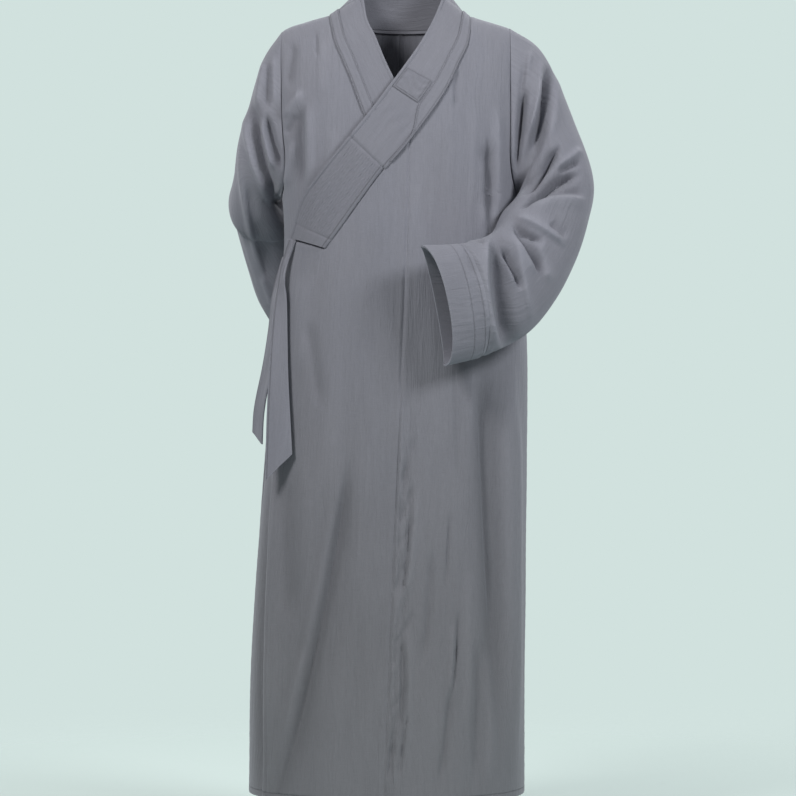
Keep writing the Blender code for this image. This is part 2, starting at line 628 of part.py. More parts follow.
def collar(stations, shares, lift=0.0):
    """Grid of the collar band: rows along it, columns from its seam to its free edge."""
    k = np.asarray(stations)
    edges = []
    for cx, cz, cy in ((1, 2, 6), (3, 4, 7)):
        x = smooth(COLLAR, cx, k)
        z = smooth(COLLAR, cz, k)
        rows = COLLAR.copy()
        on = np.isnan(rows[:, cy])
        rows[on, cy] = depth(rows[on, cx], rows[on, cz], True) - rows[on, 5]
        edges.append((x, smooth(rows, cy, k), z))
    (sx, sy, sz), (fx, fy, fz) = edges
    behind = (k >= NECK_FROM) & (k <= NECK_TO)
    sz = np.where(behind, top_of(sx, False) + NECK_RISE, np.minimum(sz, ridge(sx)))
    lifted = depth(sx, sz, True) - smooth(COLLAR, 5, k)
    sy = np.where(behind, RIDGE_Y + 0.094 * neck_bow(sx), lifted)
    share = np.asarray(shares)[None, :]
    x = sx[:, None] + (fx - sx)[:, None] * share
    z = sz[:, None] + (fz - sz)[:, None] * share
    y = sy[:, None] + (fy - sy)[:, None] * share
    slope_x = (depth(x + 0.002, z, True) - depth(x - 0.002, z, True)) / 0.004
    slope_z = (depth(x, z + 0.002, True) - depth(x, z - 0.002, True)) / 0.004
    steep = np.sqrt(1.0 + np.minimum(slope_x**2 + slope_z**2, 3.0))
    chest = depth(x, z, True) - smooth(COLLAR, 5, k)[:, None] * steep
    part = ease((8.4 - k) / 1.4) + ease((k - 15.6) / 1.4)
    y = y + (chest - y) * part[:, None]
    p = np.stack([x, y, z], axis=-1)
    n = grid_normals(p)
    middle = np.array([0.0, 0.0, -0.35])
    out = p - middle
    sense = np.sign((n * out).sum(axis=-1).mean())
    swell = 0.0022 * np.sin(math.pi * share) * (1.0 - part[:, None])
    return p + n * (sense * (lift + swell))[..., None], sense


def collar_object(name, stations, shares, wall, lift=0.0, sides=()):
    p, sense = collar(stations, shares, lift)
    if sense < 0:
        p = p[:, ::-1]
    cloth_object(name, inset(p, sides), wall, colour=(0.185, 0.19, 0.22))


shares = np.linspace(0.005, 1.0, 6)
along = np.concatenate([
    np.arange(COLLAR_JOIN, 4.1, third),
    stations_at(upper[::-1], CORNER_AT + 0.1, 8.995)[::-1],
    np.arange(NECK_FROM, NECK_TO + 0.01, third),
    stations_at(upper, 15.005, 20.9)[::-1],
    [21.0],
])
along = np.sort(along)
collar_object("collar_band", along, shares, BAND, 0.0, ["bottom"])
collar_object("collar_end", np.arange(0.0, COLLAR_JOIN + 0.01, third), shares, BAND, 0.0,
              ["top", "bottom"])
over = STRIP + 2 * GAP
collar_object("collar_border", along[(along >= BORDER_FROM) & (along <= BORDER_TO)],
              [0.06, BORDER_WIDE * 0.5, BORDER_WIDE], STRIP, over)
collar_object("collar_patch", np.linspace(PATCH_FROM, PATCH_TO, 5),
              np.linspace(BORDER_WIDE + 0.03, 0.93, 5), STRIP, over)


def tie(name, table, rows, slant):
    """Flat strip hanging beside the body, cut slantwise at its lower end."""
    t = np.linspace(0.0, table[-1, 0], rows)
    x = smooth(table, 1, t)
    z = smooth(table, 2, t)
    half = smooth(table, 3, t) * 0.5
    y = smooth(table, 4, t)
    turn = np.radians(smooth(table, 5, t))
    across = np.linspace(1.0, -1.0, 4)[None, :]
    drop = slant * (t / t[-1])[:, None] ** 8 * across
    p = np.stack([x[:, None] - half[:, None] * np.cos(turn)[:, None] * across,
                  y[:, None] - half[:, None] * np.sin(turn)[:, None] * across * -1.0,
                  z[:, None] + drop], axis=-1)
    p = p[::-1]
    cloth_object(name, p, 0.0024, colour=(0.19, 0.195, 0.22))


tie("tie_front", TIE_FRONT, 14, -0.021)
tie("tie_back", TIE_BACK, 12, 0.010)
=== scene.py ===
import math
import bpy
import numpy as np
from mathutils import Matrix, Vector, noise


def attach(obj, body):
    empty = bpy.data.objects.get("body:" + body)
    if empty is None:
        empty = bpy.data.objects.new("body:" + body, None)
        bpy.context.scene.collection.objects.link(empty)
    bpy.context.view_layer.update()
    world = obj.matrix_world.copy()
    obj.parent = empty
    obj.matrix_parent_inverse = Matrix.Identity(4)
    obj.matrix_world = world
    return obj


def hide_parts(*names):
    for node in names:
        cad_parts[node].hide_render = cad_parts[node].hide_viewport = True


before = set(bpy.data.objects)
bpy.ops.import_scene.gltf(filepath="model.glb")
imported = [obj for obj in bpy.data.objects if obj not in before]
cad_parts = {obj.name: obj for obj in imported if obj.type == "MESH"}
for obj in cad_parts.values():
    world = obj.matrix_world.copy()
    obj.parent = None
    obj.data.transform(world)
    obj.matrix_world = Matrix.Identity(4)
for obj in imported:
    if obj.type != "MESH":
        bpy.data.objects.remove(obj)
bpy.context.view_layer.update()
bpy.ops.object.select_all(action="DESELECT")


# Wearer's left front
# One length of plain-woven grey-blue cotton from the shoulder to the hem. It is sewn to the
# wrapped front down the middle, to the back at the side, and to the sleeve at the armhole.

HEM = -1.27             # hem below the shoulder points
ARMPIT = -0.30          # bottom of the armhole
CLOTH = 0.0018          # wall of the body and the sleeves
LAP = 0.0060            # how far the wrapped front stands off the one below it
NECK_OUT = 0.1130       # where the collar seam crosses the shoulder, from the middle
ARMHOLE_TURN = 64.0     # how far round the body the armhole edge lies, degrees
ROUND = 2.3             # squareness of the body's section
SHOULDER_ROUND = 2.2    # squareness of the chest and back where they turn over the shoulder
RIDGE_Y = 0.006         # the shoulder's top line stands this far behind the middle
CORNER = (0.0144, -0.2152)  # where the middle seam meets the collar
CORNER_AT = 4.22        # the collar's station there
NECK_FROM = 9.0         # between these two stations the collar's seam runs behind the neck
NECK_TO = 15.0
NECK_BACK = 0.094       # the back neckline lies this far behind the shoulder line
NECK_LOW = 0.014        # and this far below it


def in_mm(rows, bare=()):
    """Table in metres from rows in millimetres. Its bare columns hold no lengths."""
    table = np.array(rows, float)
    scale = np.full(table.shape[1], 1000.0)
    scale[list(bare)] = 1.0
    return table / scale


# Body section: height, half width on wearer's right, on wearer's left, depth in front, behind
BODY = in_mm([
    (-1270, 248, 203, 165, 170),
    (-1100, 244, 204, 160, 165),
    (-900, 234, 206, 155, 157),
    (-720, 221, 208, 150, 146),
    (-550, 207, 208, 147, 126),
    (-450, 195, 203, 145, 110),
    (-370, 189, 196, 140, 104),
    (-300, 193, 192, 134, 107),
    (-220, 209, 198, 129, 112),
    (-100, 215, 200, 125, 112),
    (50, 215, 200, 123, 111),
])

# Shoulder line: distance out from the middle, height on wearer's right, on wearer's left
SHOULDER = in_mm([
    (0, 6, 6),
    (60, 4, 2),
    (113, -0.5, -3.5),
    (154, -11.5, -13.5),
    (193.5, -27.5, -28.5),
    (240, -85, -70),
])

# Middle front seam: height, distance from the middle
FRONT_SEAM = in_mm([
    (-1272, -27),
    (-912, -12.7),
    (-710, -3.2),
    (-520, 4.8),
    (-393, 9.5),
    (-215.2, 14.4),
])

# Collar band, from its sewn-down end, up and round the neck, to its hidden end.
# Each row: station, seam x, seam z, free x, free z, lift off the chest, seam y, free y.
# A y of nan lies on the chest, and the other rows stand up round the neck.
ON = math.nan
COLLAR = in_mm([
    (0, -120, -389.1, -176.5, -370.5, 9.7, ON, ON),
    (1, -94.4, -355.3, -159.2, -311.2, 9.7, ON, ON),
    (2, -67.2, -317.6, -130.2, -270.4, 9.7, ON, ON),
    (3, -26.1, -262.6, -80.8, -210.4, 9.7, ON, ON),
    (4, 6.4, -224.9, -44.8, -165.6, 9.7, ON, ON),
    (5, 45.6, -172.8, -17.6, -128.8, 9.5, ON, ON),
    (6, 72, -132, 6.7, -95.2, 8.5, ON, ON),
    (7, 92.3, -88.8, 33, -55.2, 6.2, ON, ON),
    (8, 108.8, -50, 53.5, -15, 3.6, ON, -52),
    (9, 113, -3.5, 69.1, 26, 1, 4, -20),
    (10, 105, -12, 74.5, 45, 1, 41, 20),
    (11, 65, -18.8, 53, 50, 1, 82.9, 59),
    (12, 0, -21.5, 0, 47, 1, 101, 81),
    (13, -65, -14.5, -52, 51, 1, 82.9, 59),
    (14, -105, -7.5, -68, 46, 1, 41, 20),
    (15, -113, -0.5, -60, 26, 1, 4, -20),
    (16, -104.5, -47, -52.8, -14, 1.5, ON, -52),
    (17, -91.4, -80.6, -40, -43, 1.5, ON, ON),
    (18, -75.4, -120.6, -22.4, -87.8, 1.5, ON, ON),
    (19, -54.8, -175.8, 1.6, -139, 1.5, ON, ON),
    (20, -28.8, -225.4, 22.4, -179, 1.5, ON, ON),
    (21, 0, -265.4, 48, -214.2, 1.5, ON, ON),
], bare=[0])

# Folds of the front: path x z x z x z, width to the left, to the right, height, and how
# crisp the crease is, from 0, a soft trough, to 1, a pinched one
FRONT_FOLDS = in_mm([
    (-82, -720, -124, -985, -214, -1320, 30, 42, -4.5, 0),
    (-78, -700, -126, -985, -212, -1330, 5, 10, -8.5, 0.4),
    (-94, -720, -140, -985, -228, -1320, 10, 6, 3.6, 0),
    (130, -560, 143, -800, 156, -1180, 18, 20, -9, 0),
    (126, -600, 137, -780, 150, -1020, 4, 9, -6, 0.3),
    (178, -520, 182, -850, 184, -1260, 12, 12, 5.5, 0),
    (-209, -660, -220, -960, -225, -1330, 10, 5, -7.5, 0),
    (4, -560, -3, -850, -17, -1250, 4, 9, 2.4, 0),
    (166, -600, 171, -820, 176, -1080, 6, 9, 2.6, 0),
    (190, -640, 191, -860, 190, -1250, 5, 6, 2.6, 0),
    (-200, -760, -204, -950, -205, -1260, 8, 20, 3, 0),
    (-181, -720, -180, -860, -178, -1000, 12, 20, -4, 0),
    (141, -215, 143, -280, 145, -340, 14, 12, -5, 0),
    (140.5, -200, 142, -290, 142.5, -376, 3, 9, -7.5, 0.5),
    (155, -150, 157, -250, 156, -350, 6, 8, 4.5, 0),
    (132, -230, 133, -300, 132, -372, 7, 4, 3, 0),
    (-160, -150, -160, -210, -158, -290, 16, 10, -5, 0),
    (-163, -160, -162, -225, -158, -300, 6, 7, -6, 0.3),
    (-149, -150, -149, -220, -148, -300, 5, 10, 4.5, 0),
    (-157, -132, -172, -152, -188, -176, 6, 7, 4.8, 0),
    (-170, -170, -178, -188, -188, -200, 6, 7, -5.2, 0.2),
    (-172, -210, -178, -250, -186, -292, 7, 7, 4.8, 0),
    (-138, -30, -136, -55, -135, -80, 3, 4, -2.8, 0.3),
    (-128, -40, -126, -90, -128, -150, 9, 10, 1.6, 0),
    (-174, -48, -177, -85, -183, -130, 7, 8, -4.4, 0.2),
    (-108, -190, -112, -250, -120, -300, 10, 12, 1.9, 0),
    (92, -100, 89, -130, 86, -175, 4, 5, -3.6, 0.3),
    (82, -130, 80, -170, 78, -210, 4, 6, 1.6, 0),
    (120, -150, 117, -240, 118, -350, 9, 12, 2.2, 0),
    (64, -200, 62, -300, 60, -420, 10, 14, -1.2, 0),
    (28, -250, 26, -360, 24, -480, 9, 10, 1.4, 0),
    (-40, -330, -48, -460, -52, -600, 14, 18, -1.2, 0),
    (-144, -500, -136, -570, -124, -650, 8, 11, -3.2, 0),
    (-150, -420, -156, -500, -160, -600, 8, 12, 2.6, 0),
    (-104, -560, -110, -680, -120, -820, 14, 18, 1.4, 0),
    (-60, -700, -66, -820, -78, -960, 12, 16, 1.3, 0),
    (-50, -950, -70, -1080, -100, -1250, 14, 20, -1.6, 0),
    (-150, -1020, -166, -1120, -184, -1260, 10, 12, 2.6, 0),
    (50, -460, 54, -600, 56, -760, 12, 16, 1.4, 0),
    (86, -520, 90, -640, 94, -800, 9, 12, -2.6, 0),
    (108, -420, 112, -560, 118, -720, 8, 12, 2.6, 0),
    (19, -740, 12, -870, 0, -945, 3, 2.5, -4.8, 0.8),
    (25, -770, 18, -880, 5, -955, 4, 6, 2.9, 0),
    (0, -1000, 4, -1075, -2, -1170, 2.5, 3, -6.2, 0.8),
    (10, -990, 15, -1080, 8, -1190, 4, 6, 3.5, 0),
    (14, -1120, 6, -1165, -4, -1240, 2.5, 3, -4.8, 0.7),
    (91, -965, 89, -1025, 81, -1110, 2.2, 3, -5.5, 0.8),
    (83, -985, 81, -1035, 78, -1100, 4, 4, 2.6, 0),
    (78, -800, 75, -870, 70, -940, 2.5, 3, -4.2, 0.7),
    (80, -1080, 72, -1160, 60, -1250, 5, 7, -4.8, 0.3),
    (104, -900, 108, -1020, 104, -1180, 8, 10, 2.6, 0),
    (120, -1000, 122, -1120, 118, -1255, 7, 10, -4, 0.2),
    (48, -860, 44, -960, 34, -1060, 5, 7, -3.6, 0.3),
    (140, -1020, 144, -1130, 142, -1260, 6, 8, 2.6, 0),
], bare=[9])


def smooth(table, col, q, key=0):
    """Smooth curve through one column of a table whose key column rises."""
    xs = table[:, key]
    ys = table[:, col]
    slope = np.gradient(ys, xs)
    q = np.clip(q, xs[0], xs[-1])
    i = np.clip(np.searchsorted(xs, q, side="right") - 1, 0, len(xs) - 2)
    h = xs[i + 1] - xs[i]
    t = (q - xs[i]) / h
    first = (2 * t**3 - 3 * t**2 + 1) * ys[i] + (t**3 - 2 * t**2 + t) * h * slope[i]
    second = (3 * t**2 - 2 * t**3) * ys[i + 1] + (t**3 - t**2) * h * slope[i + 1]
    return first + second


def columns(table, cols, q):
    return np.stack([smooth(table, c, q) for c in cols], axis=-1)


def ease(t):
    """0 to 1 with level ends."""
    t = np.clip(t, 0.0, 1.0)
    return t * t * (3.0 - 2.0 * t)


def bell(d, wide):
    """1 at nought, and off softly on both sides."""
    return np.exp(-((d / wide) ** 2))


def half_width(x, z):
    return np.where(x < 0, smooth(BODY, 1, z), smooth(BODY, 2, z))


def ridge(x):
    """Height of the shoulder line."""
    return np.where(x < 0, smooth(SHOULDER, 1, np.abs(x)), smooth(SHOULDER, 2, np.abs(x)))


def neck_bow(x):
    """1 at the middle of the back neckline, 0 where it meets the shoulder line."""
    return np.sqrt(np.clip(1.0 - (np.abs(x) / NECK_OUT) ** 2, 0.0, 1.0))


def top_of(x, front):
    """Height at which the front or the back of the body ends at the top."""
    if front:
        return ridge(x)
    ends = smooth(SHOULDER, 1, NECK_OUT), smooth(SHOULDER, 2, NECK_OUT)
    edge = np.interp(x, [-NECK_OUT, NECK_OUT], ends)
    return np.where(np.abs(x) < NECK_OUT, edge - NECK_LOW * neck_bow(x), ridge(x))


def depth(x, z, front):
    """y of the body's surface at a place seen from the front or the back."""
    full = smooth(BODY, 3, z) if front else smooth(BODY, 4, z)
    across = np.clip(np.abs(x) / half_width(x, z), 0.0, 1.0)
    y = full * (1.0 - across**ROUND) ** (1.0 / ROUND)
    rise = np.clip((z - ARMPIT) / (top_of(x, front) - ARMPIT), 0.0, 1.0)
    turn = (1.0 - rise**SHOULDER_ROUND) ** (1.0 / SHOULDER_ROUND)
    if front:
        return RIDGE_Y * (1.0 - turn) - y * turn
    return (RIDGE_Y + NECK_BACK * neck_bow(x)) * (1.0 - turn) + y * turn


def level_of(x, z, front=True):
    """Height measured as a share of the way to the shoulder, above the armpit."""
    share = (z - ARMPIT) / (top_of(x, front) - ARMPIT)
    return np.where(z > ARMPIT, ARMPIT - ARMPIT * share, z)


def side_turn(level):
    """Angle round the body at which the side seam or the armhole edge lies."""
    s = np.clip((level - ARMPIT) / (0.30 * -ARMPIT), 0.0, 1.0)
    return np.radians(90.0 - (90.0 - ARMHOLE_TURN) * np.sqrt(1.0 - (1.0 - s) ** 2))


def height_of(x, level, front):
    share = np.clip((level - ARMPIT) / -ARMPIT, 0.0, 1.0)
    return np.where(level > ARMPIT, ARMPIT + share * (top_of(x, front) - ARMPIT), level)


def turn_of(x, level, front=True):
    """Share of the way round to the side, -1 to 1, at which x lies."""
    z = height_of(x, level, front)
    across = np.clip(np.abs(x) / half_width(x, z), 0.0, 1.0)
    return np.sign(x) * np.arcsin(across) / side_turn(level)


def body(turn, level, front):
    """Points of the body's surface, before layers and folds."""
    angle = np.abs(turn) * side_turn(level)
    side = np.where(turn < 0, -1.0, 1.0)
    x = side * half_width(side, level) * np.sin(angle)
    for again in range(3):
        z = height_of(x, level, front)
        x = side * half_width(side, z) * np.sin(angle)
    return np.stack([x, depth(x, z, front), z], axis=-1)


def unit(v):
    """The same directions at length 1."""
    return v / np.maximum(np.linalg.norm(v, axis=-1, keepdims=True), 1e-12)


def grid_normals(p, closed=False):
    """Outward normals of a grid of points, rows upward and columns to the wearer's left."""
    up = np.gradient(p, axis=0)
    if closed:
        across = (np.roll(p, -1, axis=1) - np.roll(p, 1, axis=1)) * 0.5
    else:
        across = np.gradient(p, axis=1)
    return unit(np.cross(across, up))


def fold_field(folds, x, z):
    """Height of all the folds of a table at places in the picture plane."""
    total = np.zeros_like(x)
    for row in folds:
        knots = row[:6].reshape(3, 2)
        t = np.linspace(0.0, 1.0, 13)[:, None]
        bend = 2.0 * knots[1] - 0.5 * (knots[0] + knots[2])
        path = (1 - t) ** 2 * knots[0] + 2 * t * (1 - t) * bend + t**2 * knots[2]
        reach = 4.0 * max(row[6], row[7])
        close = ((x > path[:, 0].min() - reach) & (x < path[:, 0].max() + reach)
                 & (z > path[:, 1].min() - reach) & (z < path[:, 1].max() + reach))
        if not close.any():
            continue
        px, pz = x[close], z[close]
        best = np.full(px.shape, 1e9)
        side = np.zeros(px.shape)
        along = np.zeros(px.shape)
        for i in range(len(path) - 1):
            a = path[i]
            d = path[i + 1] - a
            s = np.clip(((px - a[0]) * d[0] + (pz - a[1]) * d[1]) / (d @ d), 0.0, 1.0)
            gap = np.hypot(px - a[0] - s * d[0], pz - a[1] - s * d[1])
            near = gap < best
            best = np.where(near, gap, best)
            side = np.where(near, np.sign(d[0] * (pz - a[1]) - d[1] * (px - a[0])), side)
            along = np.where(near, (i + s) / 12.0, along)
        wide = best / np.where(side < 0, row[6], row[7])
        shape = np.exp(-(wide**2)) * (1.0 - row[9]) + np.exp(-1.6 * wide) * row[9]
        fade = ease(np.minimum(along, 1.0 - along) / 0.25)
        total[close] += row[8] * shape * fade
    return total


def crumple(x, z, seed, across=34.0, along=7.0):
    """Uneven ripples a few centimetres apart, drawn out down the cloth, about -1 to 1."""
    flat = np.stack([x.ravel(), z.ravel()], axis=-1)
    wide = [noise.noise(Vector((a * across * 0.45, b * along * 0.5, seed))) for a, b in flat]
    fine = [noise.noise(Vector((a * across, b * along, seed + 7.3))) for a, b in flat]
    return (np.array(wide) + 0.55 * np.array(fine)).reshape(x.shape)


def panel(turn, level, front, lift, folds, seed, wave=0.0018):
    """Body panel from a grid of turns and levels, moved out by its layer and its folds."""
    p = body(turn, level, front)
    n = grid_normals(p) if front else -grid_normals(p)
    x, z = p[..., 0], p[..., 2]
    calm = 0.35 + 0.65 * ease((-0.25 - z) / 0.5)
    move = fold_field(folds, x, z) + wave * calm * crumple(x, z, seed)
    return p + n * (move + lift(x, z))[..., None], move


def panel_between(left, right, levels, share, *rest):
    """Panel whose rows run level from its left edge to its right edge."""
    level = np.repeat(levels[:, None], len(share), axis=1)
    return panel(left(level) + (right(level) - left(level)) * share[None, :], level, *rest)


def collar_seam(stations):
    """The line along which the collar is sewn on, seen from the front."""
    return columns(COLLAR, (1, 2), np.asarray(stations))


def no_lift(x, z):
    return np.zeros_like(x)


def lap_lift(x, z):
    """The wrapped front stands off the under front, and lies down towards the left side."""
    return LAP * (1.0 - ease((x - 0.065) / 0.08))


def seam_line(level):
    x = np.interp(level, FRONT_SEAM[:, 0], FRONT_SEAM[:, 1])
    return turn_of(x, level)


def front_inner_line(level):
    """Middle seam, then the collar seam above it."""
    seam = collar_seam(np.linspace(CORNER_AT, NECK_FROM, 60))
    x = np.interp(level, level_of(seam[:, 0], seam[:, 1]), seam[:, 0])
    return np.where(level < CORNER[1], seam_line(level), turn_of(x, level))


left_side = np.ones_like
ROW = 0.0048            # from one row of a body panel's grid to the next
COLUMNS = 121           # its columns, before those added beside the seams


def across_shares(count):
    """An odd number of columns, closer together beside the two edges."""
    near = np.array([0.003, 0.007, 0.012, 0.018])
    share = np.unique(np.concatenate([np.linspace(0.0, 1.0, count), near, 1.0 - near]))
    return share if len(share) % 2 else np.delete(share, len(share) // 2)


def row_levels(extra=()):
    """An odd number of levels from the hem to the shoulder."""
    count = int(-HEM / ROW)
    level = np.unique(np.concatenate([np.linspace(HEM, 0.0, count), extra]))
    return level if len(level) % 2 else np.delete(level, 3)


def lengths(p, closed=False):
    """Distance across and up a grid of points from its first corner, in metres."""
    u = np.zeros(p.shape[:2])
    v = np.zeros(p.shape[:2])
    u[:, 1:] = np.cumsum(np.linalg.norm(np.diff(p, axis=1), axis=-1), axis=1)
    v[1:] = np.cumsum(np.linalg.norm(np.diff(p, axis=0), axis=-1), axis=0)
    if closed:
        v = np.repeat(v.mean(axis=1, keepdims=True), p.shape[1], axis=1)
    return u, v


def from_edges(u, v):
    """Distance in from each edge of a grid with these lengths."""
    return {"left": u, "right": u[:, -1:] - u, "bottom": v, "top": v[-1:] - v}


def body_map(p, front):
    """Flat lengths of a body panel: round from the middle, and up from the hem."""
    u, v = lengths(p)
    sign = 1.0 if front else -1.0
    x, y, z = p[..., 0], p[..., 1], p[..., 2]
    middle = np.abs(x).argmin(axis=1)[:, None]
    u = u - np.take_along_axis(u, middle, 1) + sign * np.take_along_axis(x, middle, 1)
    upright = -sign * smooth(BODY, 3 if front else 4, z)
    across = np.clip(np.abs(x) / half_width(x, z), 0.0, 0.999)
    flat = upright * (1.0 - across**ROUND) ** (1.0 / ROUND)
    return u, z - HEM + 0.6 * np.abs(y - flat) * ease((z - ARMPIT) / 0.05)


def seam_in(p, sides, closed=False, sink=0.0016, reach=0.0028):
    """Draws the cloth in along its sewn edges and lets it puff up just beside them."""
    u, v = lengths(p, closed)
    away = from_edges(u, v)
    n = grid_normals(p, closed)
    for name in sides:
        d = away[name]
        along = u if name in ("bottom", "top") else v
        tug = 1.0 + 0.35 * np.sin(along * 310.0 + 2.0 * np.sin(along * 47.0))
        move = -sink * bell(d, reach) + 0.0006 * tug * bell(d - 0.006, 0.0035)
        armhole_edge = (np.abs(p[..., 0]) > 0.15) & (name != "top" or closed)
        low = np.where(armhole_edge, 0.15 + 0.40 * ease((-0.06 - p[..., 2]) / 0.08), 1.0)
        p = p + n * (move * low)[..., None]
    return p


EDGE_REACH = 0.004      # how far in the nearness to an edge falls off


def new_piece(name, points, faces, material):
    """A smooth-shaded mesh as an object that rides on the root."""
    mesh = bpy.data.meshes.new(name)
    mesh.from_pydata(points.tolist(), [], faces)
    mesh.update()
    mesh.polygons.foreach_set("use_smooth", np.ones(len(mesh.polygons), dtype=bool))
    mesh.materials.append(material)
    piece = bpy.data.objects.new(name, mesh)
    bpy.context.scene.collection.objects.link(piece)
    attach(piece, "root")
    return piece


def cloth_sheet(name, outer, wall, fold, material, closed=False, flat=None, drawn=None,
                rims=("left", "right", "bottom", "top")):
    """One closed sheet of cloth. Its outer face is fine, and its inner face half as fine.
    It carries its flat lengths as a map, the height of its folds, its nearness to an edge,
    and how far it is drawn up beside a seam."""
    rows, cols = outer.shape[:2]
    inside = (outer - grid_normals(outer, closed) * wall)[::2, ::2]
    low, few = inside.shape[:2]
    points = np.concatenate([outer.reshape(-1, 3), inside.reshape(-1, 3)])
    base = rows * cols
    a = np.arange(rows * cols).reshape(rows, cols)
    b = base + np.arange(low * few).reshape(low, few)
    an = np.roll(a, -1, axis=1) if closed else a[:, 1:]
    bn = np.roll(b, -1, axis=1) if closed else b[:, 1:]
    ao = a if closed else a[:, :-1]
    bo = b if closed else b[:, :-1]
    front = np.stack([ao[:-1], an[:-1], an[1:], ao[1:]], axis=-1).reshape(-1, 4)
    back = np.stack([bo[:-1], bo[1:], bn[1:], bn[:-1]], axis=-1).reshape(-1, 4)
    faces = [tuple(f) for f in front] + [tuple(f) for f in back]
    for j in range(few if closed else few - 1):
        i0, i1, i2, m0, m1 = 2 * j, 2 * j + 1, (2 * j + 2) % cols, j, (j + 1) % few
        faces.append((a[0, i0], b[0, m0], b[0, m1], a[0, i2], a[0, i1]))
        faces.append((a[-1, i0], a[-1, i1], a[-1, i2], b[-1, m1], b[-1, m0]))
    if not closed:
        for j in range(low - 1):
            i0, i1, i2 = 2 * j, 2 * j + 1, 2 * j + 2
            faces.append((a[i0, 0], a[i1, 0], a[i2, 0], b[j + 1, 0], b[j, 0]))
            faces.append((a[i0, -1], b[j, -1], b[j + 1, -1], a[i2, -1], a[i1, -1]))
    piece = new_piece(name, points, [tuple(int(i) for i in f) for f in faces], material)
    mesh = piece.data
    u, v = lengths(outer, closed)
    away = from_edges(u, v)
    edge = np.min([away[side] for side in rims if side in ("bottom", "top") or not closed], axis=0)
    if flat is not None:
        u, v = flat
    kept = {"fold": np.clip(fold / 0.006, -1.0, 1.0), "edge": np.exp(-edge / EDGE_REACH)}
    if drawn is not None:
        kept["drawn"] = drawn
    for word, values in kept.items():
        both = np.concatenate([values.ravel(), values[::2, ::2].ravel()])
        mesh.attributes.new(word, "FLOAT", "POINT").data.foreach_set("value", both)
    spots = np.stack([u, v], -1)
    spots = np.concatenate([spots.reshape(-1, 2), spots[::2, ::2].reshape(-1, 2)])
    corner = np.zeros(len(mesh.loops), dtype=int)
    mesh.loops.foreach_get("vertex_index", corner)
    map_at = spots[corner]
    if closed:
        round_it = u.max() + np.linalg.norm(outer[:, 0] - outer[:, -1], axis=-1).mean()
        first = np.zeros(len(mesh.polygons), dtype=int)
        size = np.zeros(len(mesh.polygons), dtype=int)
        mesh.polygons.foreach_get("loop_start", first)
        mesh.polygons.foreach_get("loop_total", size)
        face = np.repeat(np.arange(len(first)), size)
        most = np.full(len(first), -1e9)
        np.maximum.at(most, face, map_at[:, 0])
        wraps = (most[face] - map_at[:, 0]) > round_it * 0.5
        map_at[wraps, 0] += round_it
    mesh.uv_layers.new(name="cloth").data.foreach_set("uv", map_at.ravel())
    mesh.set_sharp_from_angle(angle=math.radians(58))
    return piece


class Wire:
    """One socket of a material. A sum written on it adds the Math nodes for it."""

    def __init__(self, tree, socket=None):
        self.tree = tree
        self.socket = socket

    def node(self, kind, settings, inputs, out=0):
        made = self.tree.nodes.new(kind)
        for key, value in settings.items():
            setattr(made, key, value)
        for key, value in inputs.items():
            if isinstance(value, Wire):
                self.tree.links.new(value.socket, made.inputs[key])
            else:
                made.inputs[key].default_value = value
        return Wire(self.tree, made.outputs[out])

    def also(self, out):
        return Wire(self.tree, self.socket.node.outputs[out])

    def maths(self, operation, a, b=0.0):
        return self.node("ShaderNodeMath", {"operation": operation}, {0: a, 1: b})

    def __add__(self, other):
        return self.maths("ADD", self, other)

    def __sub__(self, other):
        return self.maths("SUBTRACT", self, other)

    def __rsub__(self, other):
        return self.maths("SUBTRACT", other, self)

    def __mul__(self, other):
        return self.maths("MULTIPLY", self, other)

    def __truediv__(self, other):
        return self.maths("DIVIDE", self, other)

    __radd__ = __add__
    __rmul__ = __mul__


def new_material(name):
    mat = bpy.data.materials.new(name)
    mat.use_nodes = True
    tree = mat.node_tree
    return mat, tree, tree.nodes["Principled BSDF"], Wire(tree)


HEM_STITCH = 0.010      # the hem's row of stitches, up from its fold
YARN = 0.0011           # from one yarn of the weave to the next
GREY = (0.212, 0.215, 0.247)
BLUE = (0.196, 0.202, 0.240)
# the more neutral colour painted in towards the hem, painted shade
HEM_SHADE_TINT = (0.203, 0.203, 0.220)


